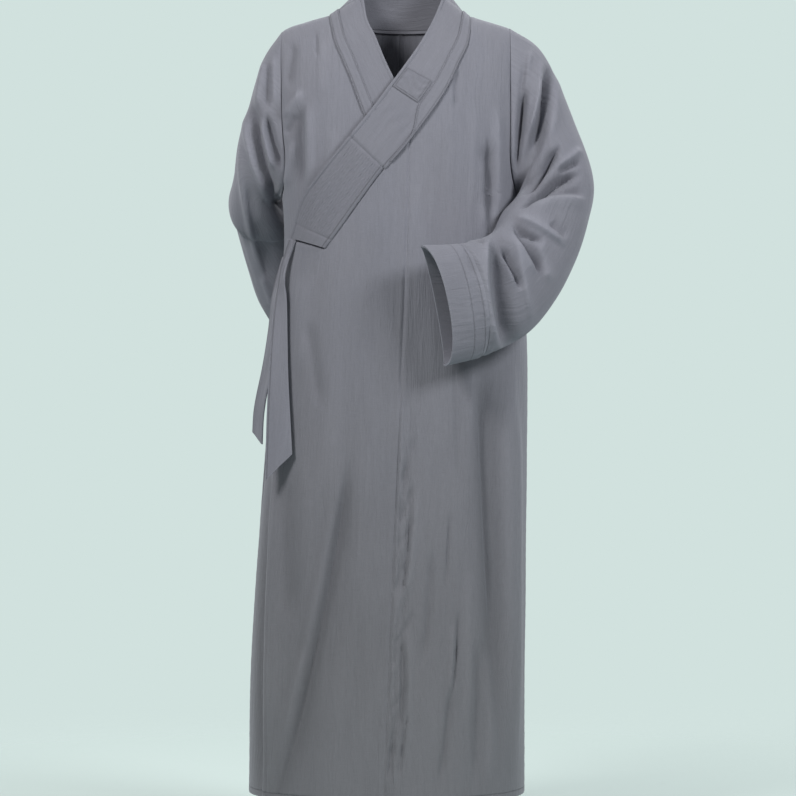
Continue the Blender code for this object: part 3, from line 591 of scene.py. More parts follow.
def cotton(name, lines=(), crinkle=1.0, shade=1.0, drawn=False, low=False, rim=None,
           groove_shade=0.34):
    """Washed plain-woven cotton. lines are stitch lines as (axis, place) on the cloth's map,
    drawn cloth is gathered into fine creases beside a seam, low cloth is painted darker and
    more neutral towards the hem, painted shade, rim is how far inside its edges a strip is
    stitched down, and the stitch rows are painted darker by a given amount, painted shade in
    their sunken grooves. shade makes the whole piece darker, painted shade."""
    mat, tree, shader, wire = new_material(name)
    cloth = wire.node("ShaderNodeUVMap", {"uv_map": "cloth"}, {})
    u = wire.node("ShaderNodeSeparateXYZ", {}, {0: cloth})
    v = u.also(1)

    def grain(across, along, detail=2.0, rough=0.5, twist=0.0):
        place = wire.node("ShaderNodeMapping", {}, {0: cloth, "Scale": (across, along, 1.0)})
        return wire.node("ShaderNodeTexNoise", {"noise_dimensions": "2D"},
                         {"Vector": place, "Scale": 1.0, "Detail": detail,
                          "Roughness": rough, "Distortion": twist})

    crease = grain(150.0, 13.0, 3.0, 0.55, 0.6)
    ripple = grain(420.0, 44.0, 2.0, 0.5, 0.4)
    slub = grain(1000.0, 60.0, 1.0)
    weft = grain(50.0, 1000.0, 1.0)
    cloud = grain(9.0, 5.0, 3.0, 0.6)
    fleck = grain(700.0, 520.0, 2.0, 0.7)
    turn = math.pi / YARN
    weave = wire.maths("SINE", u * turn) * wire.maths("SINE", v * turn)

    def hump(off, wide):
        at = off / wide
        return wire.maths("EXPONENT", at * at * -1.0)

    groove = None
    near = None
    for axis, place in lines:
        off = (u if axis == "u" else v) - place
        dip, by = hump(off, 0.0009), hump(off, 0.0055)
        groove = dip if groove is None else wire.maths("MAXIMUM", groove, dip)
        near = by if near is None else wire.maths("MAXIMUM", near, by)

    fold = wire.node("ShaderNodeAttribute", {"attribute_name": "fold"}, {}, "Fac")
    edge = wire.node("ShaderNodeAttribute", {"attribute_name": "edge"}, {}, "Fac")
    # lighter near the cloth's edges, partly wear and partly a painted highlight along the edge
    wear_and_highlight = edge * (0.35 + fleck)
    # painted shade and painted light: fold darkens the valleys of the folds and lightens their
    # ridges
    light = (1.0 + 0.13 * (slub - 0.5) + 0.11 * (weft - 0.5) + 0.17 * (fleck - 0.5)
             + 0.06 * weave + 0.13 * (crease - 0.5) + 0.17 * fold + 0.07 * wear_and_highlight)
    if rim is not None:
        level = math.exp(-rim / EDGE_REACH)
        sewn = hump(edge - level, 0.25 * level)
        groove = sewn if groove is None else wire.maths("MAXIMUM", groove, sewn)
        near = groove if near is None else near
        # painted shade: the cloth right at the strip's edge is darkened, the crevice under it
        light = light * (1.0 - 0.30 * wire.maths("POWER", edge, 5.0))
    if groove is not None:
        # painted shade in the sunken grooves of the stitch rows
        light = light * (1.0 - groove_shade * groove)
    # painted shade: darker towards the hem
    if low:
        light = light * (0.83 + 0.17 * wire.node("ShaderNodeMapRange", {}, {
            "Value": v, "From Min": 0.25, "From Max": 0.95}))
    height = (0.00100 * crinkle * (crease - 0.5) + 0.00036 * crinkle * (ripple - 0.5)
              + 0.00010 * (slub - 0.5) + 0.00008 * (weft - 0.5) + 0.00007 * weave)
    if groove is not None:
        pulled = grain(260.0, 260.0, 2.0)
        height = height - 0.0007 * groove + 0.0007 * near * (pulled - 0.5)
    if drawn:
        beside = wire.node("ShaderNodeAttribute", {"attribute_name": "drawn"}, {}, "Fac")
        gathers = grain(170.0, 16.0, 3.0, 0.6, 0.6)
        height = height + 0.0030 * beside * (gathers - 0.5)
        # painted light and shade: the gathers are lighter on their ridges and darker in their
        # troughs
        light = light * (1.0 + 0.25 * beside * (gathers - 0.5))
    tint = wire.node("ShaderNodeMix", {"data_type": "RGBA"},
                     {0: cloud, 6: (*GREY, 1.0), 7: (*BLUE, 1.0)}, 2)
    # painted shade: the colour turns more neutral towards the hem
    if low:
        hem_shade = wire.node("ShaderNodeMapRange", {}, {
            "Value": v, "From Min": 0.9, "From Max": 0.2, "To Max": 0.85})
        tint = wire.node("ShaderNodeMix", {"data_type": "RGBA"},
                         {0: hem_shade, 6: tint, 7: (*HEM_SHADE_TINT, 1.0)}, 2)
    shown = wire.node("ShaderNodeVectorMath", {"operation": "SCALE"},
                      {0: tint, "Scale": light * shade})
    tree.links.new(shown.socket, shader.inputs["Base Color"])
    tree.links.new((0.88 + 0.10 * (fleck - 0.5) - 0.03 * wear_and_highlight).socket, shader.inputs["Roughness"])

    bump = wire.node("ShaderNodeBump", {}, {"Strength": 1.0, "Distance": 1.0, "Height": height})
    tree.links.new(bump.socket, shader.inputs["Normal"])
    shader.inputs["Sheen Weight"].default_value = 0.22
    shader.inputs["Sheen Roughness"].default_value = 0.55
    shader.inputs["Sheen Tint"].default_value = (0.80, 0.83, 0.92, 1.0)
    shader.inputs["Specular IOR Level"].default_value = 0.22
    return mat


def line_at(p, side, inward, closed=False):
    """Points and normals of a line that runs inside one edge of a grid."""
    u, v = lengths(p, closed)
    n = grid_normals(p, closed)
    both = np.concatenate([p, n], axis=-1)
    if side in ("bottom", "top"):
        both, u = both.swapaxes(0, 1), v.T
    away = u if side in ("left", "bottom") else u[:, -1:] - u
    out = []
    for row, d in zip(both, away):
        order = np.argsort(d)
        out.append([np.interp(inward, d[order], row[order, c]) for c in range(6)])
    out = np.array(out)
    if closed and side in ("bottom", "top"):
        out = np.concatenate([out, out[:1]])
    return out


def sewn(name, lines, material, slot, pitch=0.0034, long=0.0026, thick=0.00050):
    """One mesh of short raised threads, a row of machine stitches along each line."""
    blocks = []
    for line in lines:
        step = np.linalg.norm(np.diff(line[:, :3], axis=0), axis=-1)
        at = np.concatenate([[0.0], np.cumsum(step)])
        middle = np.arange(pitch * 0.5, at[-1], pitch)
        if not len(middle):
            continue

        def on(distance, columns):
            return np.stack([np.interp(distance, at, line[:, c]) for c in columns], axis=-1)

        place = on(middle, (0, 1, 2))
        way = on(middle + 0.0006, (0, 1, 2)) - on(middle - 0.0006, (0, 1, 2))
        way = unit(way)
        up = unit(on(middle, (3, 4, 5)))
        wide = np.cross(way, up)
        rings = []
        for t, rise, size in ((-0.5, -0.00030, 0.45), (0.0, 0.00010, 1.0), (0.5, -0.00030, 0.45)):
            for a, b in ((-0.6, 0.0), (0.0, -0.5), (0.6, 0.0), (0.0, 0.5)):
                rings.append(place + way * (t * long) + up * (rise + b * thick * size)
                             + wide * (a * thick * size))
        blocks.append(np.stack(rings, axis=1))
    points = np.concatenate(blocks)
    one = [(3, 2, 1, 0), (8, 9, 10, 11)]
    for ring in (0, 4):
        for i in range(4):
            j = (i + 1) % 4
            one.append((ring + i, ring + j, ring + 4 + j, ring + 4 + i))
    one = np.array(one)
    faces = (one[None] + 12 * np.arange(len(points))[:, None, None]).reshape(-1, 4)
    piece = new_piece(name, points.reshape(-1, 3), faces.tolist(), material)
    bpy.ops.object.select_all(action="DESELECT")
    piece.select_set(True)
    bpy.context.view_layer.objects.active = piece
    bpy.ops.object.mode_set(mode="EDIT")
    bpy.ops.mesh.select_all(action="SELECT")
    bpy.ops.mesh.normals_make_consistent(inside=False)
    bpy.ops.object.mode_set(mode="OBJECT")
    piece.select_set(False)
    return piece


def thread(name, shade):
    """Matt cotton thread with its twist."""
    mat, tree, shader, wire = new_material(name)
    place = wire.node("ShaderNodeTexCoord", {}, {}, "Object")
    ply = wire.node("ShaderNodeTexNoise", {}, {"Vector": place, "Scale": 2600.0, "Detail": 1.0})
    patchy = wire.node("ShaderNodeTexNoise", {}, {"Vector": place, "Scale": 60.0, "Detail": 2.0})
    light = shade * (1.0 + 0.35 * (ply - 0.5) + 0.20 * (patchy - 0.5))
    shown = wire.node("ShaderNodeVectorMath", {"operation": "SCALE"}, {0: GREY, "Scale": light})
    tree.links.new(shown.socket, shader.inputs["Base Color"])
    tree.links.new((0.72 + 0.2 * (ply - 0.5)).socket, shader.inputs["Roughness"])
    bump = wire.node("ShaderNodeBump", {}, {"Strength": 0.6, "Distance": 0.00015, "Height": ply})
    tree.links.new(bump.socket, shader.inputs["Normal"])
    shader.inputs["Sheen Weight"].default_value = 0.15
    shader.inputs["Specular IOR Level"].default_value = 0.3
    return mat


body_thread = thread("cotton_thread", 0.92)


def body_sheet(name, grid, fold, front, drawn=None):
    """A body panel in its own cotton, with the line of its hem's stitches."""
    look = cotton("cotton_" + name, [("v", HEM_STITCH)], drawn=drawn is not None, low=True)
    return cloth_sheet(name, grid, CLOTH, fold, look, flat=body_map(grid, front), drawn=drawn)


def hem_rows(name, grid, slot):
    return sewn(name + "_hem", [line_at(grid, "bottom", HEM_STITCH)], body_thread, slot)


# Puckers that run down to the middle seam, one below the other
puckers = np.random.default_rng(11)
rows = []
for at in np.cumsum(puckers.uniform(0.022, 0.052, 16)):
    long = puckers.uniform(0.050, 0.110)
    out = puckers.uniform(0.010, 0.034)
    z = -0.66 - at
    near = np.interp(z - long, FRONT_SEAM[:, 0], FRONT_SEAM[:, 1]) + 0.004
    wide = puckers.uniform(0.0028, 0.0050)
    rows.append((near + out, z, near + out * 0.62, z - long * 0.5, near, z - long,
                 wide, wide * 1.3, -puckers.uniform(0.0016, 0.0032), 0.4))
seam_puckers = np.array([r for r in rows if r[5] > HEM + 0.005])
front_folds = np.concatenate([FRONT_FOLDS, seam_puckers])

levels = row_levels([CORNER[1]])
grid, fold = panel_between(front_inner_line, left_side, levels, across_shares(COLUMNS), True,
                           lap_lift, front_folds, 1.0)
grid = seam_in(grid, ["left", "right"])
from_seam, z = lengths(grid)[0], grid[..., 2]
low_down = 0.30 + 0.70 * ease((-0.45 - z) / 0.35)
drawn_up = bell(from_seam, 0.042) * low_down * ease((-0.20 - z) / 0.1)
front_left = body_sheet("left_front", grid, fold, True, drawn_up)
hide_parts("front_left")
stitches = hem_rows("left_front", grid, "front_left")


# Wrapped front
# The second front length, cut on along the collar. It crosses over the under front to the
# wearer's right side, where its free edge hangs loose from the collar's end and the tie.

EDGE_STITCH = 0.009     # the free edge's row of stitches, in from its fold
# Free edge of the wrapped front: height, distance from the middle
LAP_EDGE = in_mm([
    (-1272, -217),
    (-1100, -214),
    (-955, -210.5),
    (-840, -204),
    (-761, -200.5),
    (-664, -196),
    (-583, -192),
    (-469, -184),
    (-370.5, -176.5),
])


def lap_line(level):
    x = np.interp(level, LAP_EDGE[:, 0], LAP_EDGE[:, 1])
    return turn_of(x, level)


def panel_below(left, right, top_turn, top_level, rows, *rest):
    """Panel whose columns run up from the hem to a top line given per column."""
    lo = left(top_level)
    hi = right(top_level)
    at_top = (top_turn - lo) / np.maximum(hi - lo, 1e-6)
    v = rows[:, None]
    level = HEM + v * (top_level[None, :] - HEM)
    share = np.linspace(0.0, 1.0, len(top_turn))[None, :] * (1.0 - v) + at_top[None, :] * v
    return panel(left(level) + (right(level) - left(level)) * share, level, *rest)


def spread(points, count):
    """Points spread evenly along a line."""
    points = np.asarray(points, float)
    at = np.concatenate([[0.0], np.cumsum(np.hypot(*np.diff(points, axis=0).T))])
    t = np.linspace(0.0, at[-1], count)
    return np.stack([np.interp(t, at, points[:, 0]), np.interp(t, at, points[:, 1])], axis=-1)


def lap_layer(x, z):
    return np.full_like(x, LAP)


seam = np.concatenate([collar_seam(np.linspace(0.0, 4.2, 80)), [CORNER]])
line = np.concatenate([spread([(-0.1765, -0.3705), (-0.1200, -0.3891)], 34), spread(seam, 88)[1:]])
level = level_of(line[:, 0], line[:, 1])
turn = turn_of(line[:, 0], level)
grid, fold = panel_below(lap_line, seam_line, turn, level, np.linspace(0.0, 1.0, 211), True,
                         lap_layer, front_folds, 1.0)
grid = seam_in(grid, ["right", "top"])
inward = lengths(grid)[0]
turned = 0.0014 * bell(inward - 0.003, 0.004) - 0.0008 * bell(inward - EDGE_STITCH, 0.0016)
grid = grid + grid_normals(grid) * turned[..., None]
wrapped_front = body_sheet("wrapped_front", grid, fold, True)
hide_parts("front_overlap")
around = [line_at(grid, "bottom", HEM_STITCH), line_at(grid, "left", EDGE_STITCH)]
stitches = sewn("wrapped_front_hem", around, body_thread, "front_overlap")


# Under front
# The front length on the wearer's right. It shows beside the collar and down the side, and
# runs on under the wrap to its own free edge just past the middle.

UNDER_EDGE = 0.030      # free edge of the under front, past the middle
UNDER_TOP = -0.34       # the height at which that edge ends
COLLAR_END = 21.0       # the collar's last station, hidden under the wrap


def under_inner_line(level):
    """Free edge of the under front, then the under collar's seam above it."""
    seam = collar_seam(np.linspace(COLLAR_END, NECK_TO, 90))
    x = np.interp(level, [HEM, UNDER_TOP, *level_of(seam[:, 0], seam[:, 1])],
                  [UNDER_EDGE, UNDER_EDGE, *seam[:, 0]])
    return turn_of(x, level)


def right_side(level):
    return -np.ones_like(level)


grid, fold = panel_between(right_side, under_inner_line, row_levels(), across_shares(COLUMNS),
                           True, no_lift, front_folds, 1.0)
grid = seam_in(grid, ["left", "right"])
under_front = body_sheet("under_front", grid, fold, True)
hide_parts("front_under")
stitches = hem_rows("under_front", grid, "front_under")


# Back halves
# Two lengths joined by a seam down the middle of the back, with the neckline hollowed out
# between the shoulders. They hang straight from the shoulder blades to the hem.

BACK_FOLDS = in_mm([
    (-60, -520, -100, -850, -150, -1240, 26, 34, -10.5, 0),
    (-58, -560, -98, -850, -146, -1200, 8, 11, -6.6, 0.2),
    (75, -560, 95, -900, 120, -1240, 28, 22, -10.5, 0),
    (78, -580, 98, -880, 121, -1200, 10, 8, -6.6, 0.2),
    (5, -420, -10, -760, -5, -1200, 26, 30, 6.7, 0),
    (140, -120, 120, -200, 135, -320, 18, 22, -7.5, 0),
    (150, -150, 136, -220, 146, -300, 6, 8, -6, 0.3),
    (-145, -120, -125, -210, -130, -330, 20, 18, -7.5, 0),
    (-152, -140, -140, -210, -146, -310, 7, 6, -7.2, 0.3),
    (-120, -60, -90, -150, -80, -260, 14, 16, 2.7, 0),
    (118, -70, 92, -150, 84, -250, 14, 12, 2.4, 0),
    (-40, -100, -34, -220, -30, -360, 12, 14, -1.8, 0),
    (36, -90, 40, -190, 38, -320, 12, 12, 2.4, 0),
    (-160, -640, -176, -860, -196, -1180, 10, 14, 3.9, 0),
    (-128, -700, -144, -900, -176, -1240, 8, 10, -7.8, 0.2),
    (150, -560, 158, -800, 164, -1200, 10, 12, 6.3, 0),
    (132, -660, 142, -900, 150, -1250, 7, 9, -7.2, 0.2),
    (40, -620, 48, -860, 60, -1180, 12, 16, 3.3, 0),
    (24, -800, 28, -980, 34, -1250, 6, 8, -6.6, 0.3),
    (-30, -760, -40, -940, -60, -1200, 10, 12, -6, 0.2),
    (-70, -420, -60, -500, -64, -600, 10, 14, 2.1, 0),
    (60, -400, 70, -470, 66, -560, 10, 12, -3.3, 0),
    (-110, -350, -60, -392, 10, -396, 10, 12, -4.8, 0.2),
    (120, -340, 70, -376, 10, -372, 9, 11, 3.3, 0),
    (180, -450, 186, -800, 188, -1280, 8, 6, -7, 0.2),
    (197, -580, 199, -900, 197, -1280, 3, 2, 6, 0),
    (-190, -480, -205, -850, -222, -1280, 7, 8, -7, 0.2),
    (-208, -560, -222, -900, -236, -1280, 3, 4, 6, 0),
], bare=[9])


middle_back = np.zeros_like


def softened(p):
    """Spreads out the sharp turn of the cloth below the two ends of the back neckline."""
    near = bell(np.abs(p[..., 0]) - NECK_OUT, 0.022)
    share = 0.5 * (near * ease((p[-1:, :, 2] - p[..., 2]) / 0.03))[:, 1:-1, None]
    for again in range(90):
        p[:, 1:-1] += share * (0.5 * (p[:, 2:] + p[:, :-2]) - p[:, 1:-1])
    return p


rows = (row_levels() - HEM) / -HEM
for name, node, side in (("left_back", "back_left", 1.0), ("right_back", "back_right", -1.0)):
    tip = body(np.array([side]), np.array([0.0]), False)[0]
    x = np.concatenate([np.linspace(0.0, side * NECK_OUT, 56),
                        np.linspace(side * (NECK_OUT + 0.002), tip[0], 35)])
    level = np.zeros(len(x))
    turn = turn_of(x, level, False)
    turn[0] = 0.0
    turn[-1] = side
    ends = (middle_back, left_side) if side > 0 else (right_side, middle_back)
    grid, fold = panel_below(*ends, turn if side > 0 else turn[::-1], level, rows, False,
                             no_lift, BACK_FOLDS, 5.0)
    grid = seam_in(softened(grid[:, ::-1].copy()), ["left", "right"])
    half = body_sheet(name, grid, fold[:, ::-1], False)
    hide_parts(node)
    stitches = hem_rows(name, grid, node)


# Sleeves
# Each is one wide tube of the same cotton, sewn into the armhole and narrowing to the cuff.
# The left one is bent across the front. The right one goes round behind the back.

GAP = 0.0004            # half of the space along the armhole
CLEAR = 0.007           # from the body's form to a sleeve that lies along it
CUFF_AT = 9.0           # the cuffs run from this ring to the last one
LAST_RING = 10.0
AROUND = 240            # points round a ring
TUBE_SINK = 0.0010      # how far the seams at the tubes' ends are drawn in
# Ring, outer point x y z, inner point x y z, half thickness, how far the front edge of the
# ring is drawn back up the arm. Ring 0 is the armhole.
SLEEVE_LEFT = in_mm([
    (0, 190, 10, -28, 192, 0, -300, 62, 0),
    (1, 237, 12, -62, 197, -6, -299, 66, 0),
    (2, 273, 15, -140, 196, -24, -299, 66, 0),
    (3, 297, 10, -219.9, 189, -54, -302, 63, 0),
    (4, 308, -4, -293.4, 181, -84, -311, 58, 0),
    (5, 296, -28, -350.4, 170, -110, -327, 53, 0),
    (6, 275.5, -58, -412.3, 156.4, -135, -357, 50, 0),
    (7, 241.1, -100, -475.3, 134.8, -163, -373, 48, 0),
    (8, 194.5, -138, -529.1, 115, -182, -380, 45, 2),
    (9, 127, -170, -562.5, 94, -197, -386.4, 40, 8),
    (10, 68.9, -190, -578.1, 32.3, -215, -389.5, 34, 16),
], bare=[0])
SLEEVE_RIGHT = in_mm([
    (0, -193, 10, -28, -193, 0, -300, 62, 0),
    (1, -225.5, 12, -78, -199, 4, -303, 64, 0),
    (2, -246, 20, -160, -200, 14, -308, 64, 0),
    (3, -267, 30, -240, -193, 40, -315, 61, 0),
    (4, -284, 48, -308.3, -183, 70, -322, 57, 0),
    (5, -269.8, 74, -351.5, -170, 104, -332, 53, 0),
    (6, -248.4, 108, -421.6, -156, 134, -350, 50, 0),
    (7, -227.8, 136, -479.5, -145, 156, -371, 47, 0),
    (8, -190, 168, -535, -115, 172, -390, 44, 0),
    (9, -130, 190, -580, -78, 184, -410, 40, 0),
    (10, -72, 204, -606, -24, 194, -424, 34, 0),
], bare=[0])

# Folds in front of and behind each sleeve, in the columns of the front's
LEFT_FRONT_OF_SLEEVE = in_mm([
    (238, -85, 234, -160, 196, -270, 10, 12, -13, 0),
    (241, -80, 236, -150, 206, -235, 4, 6, -13, 0.5),
    (228, -75, 224, -140, 204, -212, 5, 5, 7, 0),
    (254, -90, 252, -150, 236, -220, 8, 10, 5.5, 0),
    (208, -70, 196, -150, 190, -230, 8, 9, -8, 0),
    (204, -120, 194, -190, 188, -270, 5, 5, -14, 0.6),
    (213, -55, 206, -100, 196, -160, 4, 5, 4.8, 0),
    (255, -225, 225, -265, 193, -300, 12, 10, -10, 0),
    (262, -216, 230, -262, 190, -308, 6, 4, -16, 0.6),
    (297, -221, 274, -240, 246, -262, 6, 6, 6.2, 0),
    (292, -246, 274, -254, 252, -264, 7, 5, -8.5, 0.2),
    (292, -268, 245, -288, 205, -318, 13, 9, -11, 0),
    (296, -266, 240, -293, 186, -332, 7, 4, -18, 0.6),
    (215, -305, 258, -299, 303, -300, 4, 12, -6.5, 0.3),
    (196, -322, 250, -308, 306, -310, 14, 4, 5.5, 0),
    (178, -338, 222, -359, 268, -388, 5, 12, 9, 0.2),
    (174, -350, 200, -366, 230, -383, 6, 5, -14, 0.4),
    (236, -350, 250, -362, 268, -374, 4, 11, -5, 0.2),
    (180, -358, 202, -392, 226, -436, 4, 11, -18, 0.3),
    (173, -360, 193, -396, 219, -436, 10, 3, 6, 0),
    (212, -376, 226, -412, 236, -450, 4, 12, 6, 0),
    (150, -374, 169, -416, 189, -458, 8, 3, 6, 0),
    (163, -384, 177, -423, 191, -460, 4, 6, -15.5, 0.4),
    (180, -380, 190, -430, 209, -520, 3, 11, 6, 0.1),
    (154, -362, 157, -467, 175, -566, 9, 16, -22, 0.1),
    (142, -362, 136, -466, 165, -562, 10, 4, 8, 0),
    (114, -372, 122, -380, 134, -384, 4, 5, -6, 0.3),
    (100, -390, 108, -414, 118, -444, 4, 7, -3, 0.2),
    (110, -420, 108, -480, 116, -540, 7, 8, 2, 0),
], bare=[9])
LEFT_BEHIND_SLEEVE = in_mm([
    (250, -100, 236, -180, 204, -260, 12, 12, -8.5, 0.2),
    (216, -80, 206, -150, 198, -230, 8, 8, -8.5, 0.3),
    (230, -90, 222, -160, 206, -240, 6, 6, 4.8, 0),
    (296, -260, 256, -270, 212, -296, 10, 8, 6.4, 0),
    (300, -290, 256, -310, 210, -322, 8, 7, -8.5, 0.3),
    (284, -350, 250, -352, 214, -350, 8, 7, -8.5, 0.3),
    (262, -410, 230, -398, 200, -380, 8, 7, 5.8, 0),
    (240, -450, 210, -424, 190, -394, 6, 6, -6.8, 0.3),
], bare=[9])
RIGHT_FRONT_OF_SLEEVE = in_mm([
    (-246, -120, -222, -250, -190, -322, 9, 12, -9, 0),
    (-245, -135, -222, -256, -186, -328, 6, 7, -13, 0.6),
    (-258, -150, -240, -240, -210, -310, 5, 8, 6, 0),
    (-217, -170, -206, -217, -192, -256, 6, 7, -7, 0),
    (-218, -162, -206, -217, -190, -262, 4, 5, -10, 0.5),
    (-228, -170, -217, -222, -204, -262, 4, 5, 6.8, 0),
    (-222, -70, -228, -115, -234, -165, 6, 6, 5, 0),
    (-214, -75, -216, -120, -216, -165, 5, 6, -6.2, 0.2),
    (-204, -65, -204, -110, -201, -160, 5, 5, 4, 0),
    (-258, -200, -253, -310, -228, -430, 6, 10, 6, 0),
    (-250, -270, -240, -350, -218, -440, 3, 9, -5, 0.2),
    (-232, -330, -224, -380, -210, -440, 10, 12, -3, 0),
    (-232, -420, -222, -450, -212, -480, 5, 6, 4.2, 0),
], bare=[9])
RIGHT_BEHIND_SLEEVE = in_mm([
    (-238, -120, -228, -190, -204, -270, 10, 10, -8.5, 0.2),
    (-226, -110, -218, -170, -204, -230, 6, 6, 4.8, 0),
    (-212, -70, -206, -140, -200, -220, 8, 8, -8.5, 0.3),
    (-280, -290, -240, -300, -206, -320, 9, 8, -8.5, 0.4),
    (-276, -320, -244, -330, -208, -342, 7, 7, 6.4, 0),
    (-262, -370, -222, -372, -186, -362, 10, 9, -8.5, 0.3),
    (-240, -420, -206, -400, -176, -376, 8, 8, 6.4, 0),
    (-220, -470, -190, -440, -166, -400, 8, 8, -8.5, 0.3),
    (-170, -520, -158, -480, -150, -430, 10, 10, 4.8, 0),
    (-136, -540, -134, -490, -128, -430, 8, 9, -7.2, 0.2),
    (-100, -560, -100, -510, -96, -450, 8, 9, 3.8, 0),
], bare=[9])


def armhole(side, theta):
    """Loop of the armhole: 0 at the shoulder, a half turn at the armpit, front first."""
    level = ARMPIT * (1.0 - np.cos(theta)) * 0.5
    edge = np.full_like(level, side)
    ahead = body(edge, level, True)
    behind = body(edge, level, False)
    loop = np.where((np.sin(theta) >= 0)[:, None], ahead, behind)
    loop[:, 0] += side * GAP
    return loop


def clear_of_body(p, amount):
    """Pushes points out of the body's hollow form, so that a sleeve lies just clear of it."""
    x, y, z = p[..., 0], p[..., 1], p[..., 2]
    deep = np.where(y < 0, smooth(BODY, 3, z), smooth(BODY, 4, z))
    f = (np.abs(x / half_width(x, z)) ** ROUND + np.abs(y / deep) ** ROUND) ** (1.0 / ROUND)
    r = np.hypot(x, y)
    r0 = r / np.maximum(f, 1e-6)
    want = r0 + np.where(y < 0, CLEAR + lap_lift(x, z), CLEAR)
    soft = 0.003
    pushed = want + soft * np.logaddexp(0.0, (r - want) / soft)
    share = amount * ease((ARMPIT + 0.03 - z) / 0.03)
    k = 1.0 + (pushed / np.maximum(r, 1e-6) - 1.0) * share
    return np.stack([x * k, y * k, z], axis=-1)


def sleeve(table, side, stations, folds, hidden_folds):
    """Rings of a sleeve from the armhole to the cuff."""
    theta = np.linspace(0.0, 2.0 * math.pi, AROUND, endpoint=False)
    k = np.asarray(stations)
    outer = columns(table, (1, 2, 3), k)
    inner = columns(table, (4, 5, 6), k)
    half = smooth(table, 7, k)
    drawn = smooth(table, 8, k)
    fine = np.linspace(0.0, LAST_RING, 101)
    mid = (columns(table, (1, 2, 3), fine) + columns(table, (4, 5, 6), fine)) * 0.5
    way = unit(np.gradient(mid, axis=0))
    way = np.stack([np.interp(k, fine, way[:, c]) for c in range(3)], axis=-1)
    long = (outer - inner) * 0.5
    broad = unit(np.cross(long, way))
    broad = broad * np.where(broad[:, 1:2] > 0, -1.0, 1.0)
    turned = ease(k / 3.8)[:, None]
    ahead = np.array([0.0, -1.0, 0.0])
    broad = unit(broad * turned + ahead * (1.0 - turned))
    c = np.cos(theta)
    s = np.sin(theta)
    c = np.sign(c) * np.abs(c) ** 0.92
    s2 = np.sign(s) * np.abs(s) ** 0.85
    mid_k = (outer + inner) * 0.5
    ring = (mid_k[:, None] + long[:, None] * c[None, :, None]
            + broad[:, None] * (half[:, None] * s2[None, :])[..., None]
            - way[:, None] * (drawn[:, None] * np.abs(s)[None, :])[..., None])
    top, bottom = table[0, 1:4], table[0, 4:7]
    first = ((top + bottom) * 0.5 + (top - bottom) * 0.5 * c[:, None]
             + ahead * (table[0, 7] * s2)[:, None])
    loop = armhole(side, theta)
    blend = 1.0 - ease(k / 2.4)[:, None, None]
    at_armhole = k[:, None, None] <= 1e-9
    ring = np.where(at_armhole, loop[None], ring + (loop - first)[None] * blend)
    ring = clear_of_body(ring, ease((k - 1.2) / 2.0)[:, None])
    n = grid_normals(ring, True)
    outward = ring - ring.mean(axis=1, keepdims=True)
    sense = np.sign((n * outward).sum(axis=-1).mean())
    n = n * sense
    ahead = np.clip(-n[..., 1], 0.0, 1.0) ** 0.5
    behind = np.clip(n[..., 1], 0.0, 1.0) ** 0.5
    away = ease(k / 0.6)[:, None] * ease((LAST_RING - k) / 0.8)[:, None]
    move = fold_field(folds, ring[..., 0], ring[..., 2]) * ahead
    move = move + fold_field(hidden_folds, ring[..., 0], ring[..., 2]) * behind
    round_it, along = lengths(ring, True)
    wave = 0.0016 * crumple(round_it, along, 3.0 + side, 30.0, 12.0)
    match = ease(np.minimum(round_it, round_it[:, -1:] - round_it) / 0.03)
    move = (move + wave * match) * away
    ring = ring + n * move[..., None]
    return (ring, move) if sense > 0 else (ring[:, ::-1], move[:, ::-1])


ARMS = (("left", SLEEVE_LEFT, 1.0, LEFT_FRONT_OF_SLEEVE, LEFT_BEHIND_SLEEVE),
        ("right", SLEEVE_RIGHT, -1.0, RIGHT_FRONT_OF_SLEEVE, RIGHT_BEHIND_SLEEVE))
for word, table, side, folds, hidden in ARMS:
    grid, fold = sleeve(table, side, np.linspace(0.0, CUFF_AT, 231), folds, hidden)
    grid = seam_in(grid, ["bottom", "top"], True, TUBE_SINK)
    piece = cloth_sheet(word + "_sleeve", grid, CLOTH, fold, cotton("cotton_%s_sleeve" % word),
                        closed=True)
    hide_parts("sleeve_" + word)


# Cuffs
# A straight band of doubled cotton round the end of each sleeve, sewn on with a seam and
# held down by two rows of stitches beside it.

BAND = 0.0030           # wall of the cuffs and the collar, folded double
CUFF_ROWS = (0.006, 0.022)  # the two rows of stitches, from the seam
for word, table, side, folds, hidden in ARMS:
    grid, fold = sleeve(table, side, np.linspace(CUFF_AT, LAST_RING, 33), folds, hidden)
    grid = seam_in(grid, ["bottom"], True, TUBE_SINK)
    look = cotton("cotton_%s_cuff" % word, [("v", at) for at in CUFF_ROWS], 0.8, groove_shade=0.16)
    piece = cloth_sheet(word + "_cuff", grid, BAND, fold, look, closed=True)
    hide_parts("cuff_" + word)
    stitches = sewn(word + "_cuff_rows", [line_at(grid, "bottom", at, True) for at in CUFF_ROWS],
                    body_thread, "cuff_" + word)


# Collar
# One long band of doubled cotton round the neck and down both fronts. Its lower end over the
# wrap is a quilted length joined on by a cross seam, and its free edge is rolled and sewn.

COLLAR_JOIN = 3.0       # cross seam between the band and its quilted end
QUILT_ROW = 0.0046      # from one quilting row to the next
FREE_STITCH = 0.0056    # row of stitches along the free edge
BAND_STEP = 0.0024      # from one row of the band's grid to the next
END_STEP = 0.0016       # and of its quilted end's


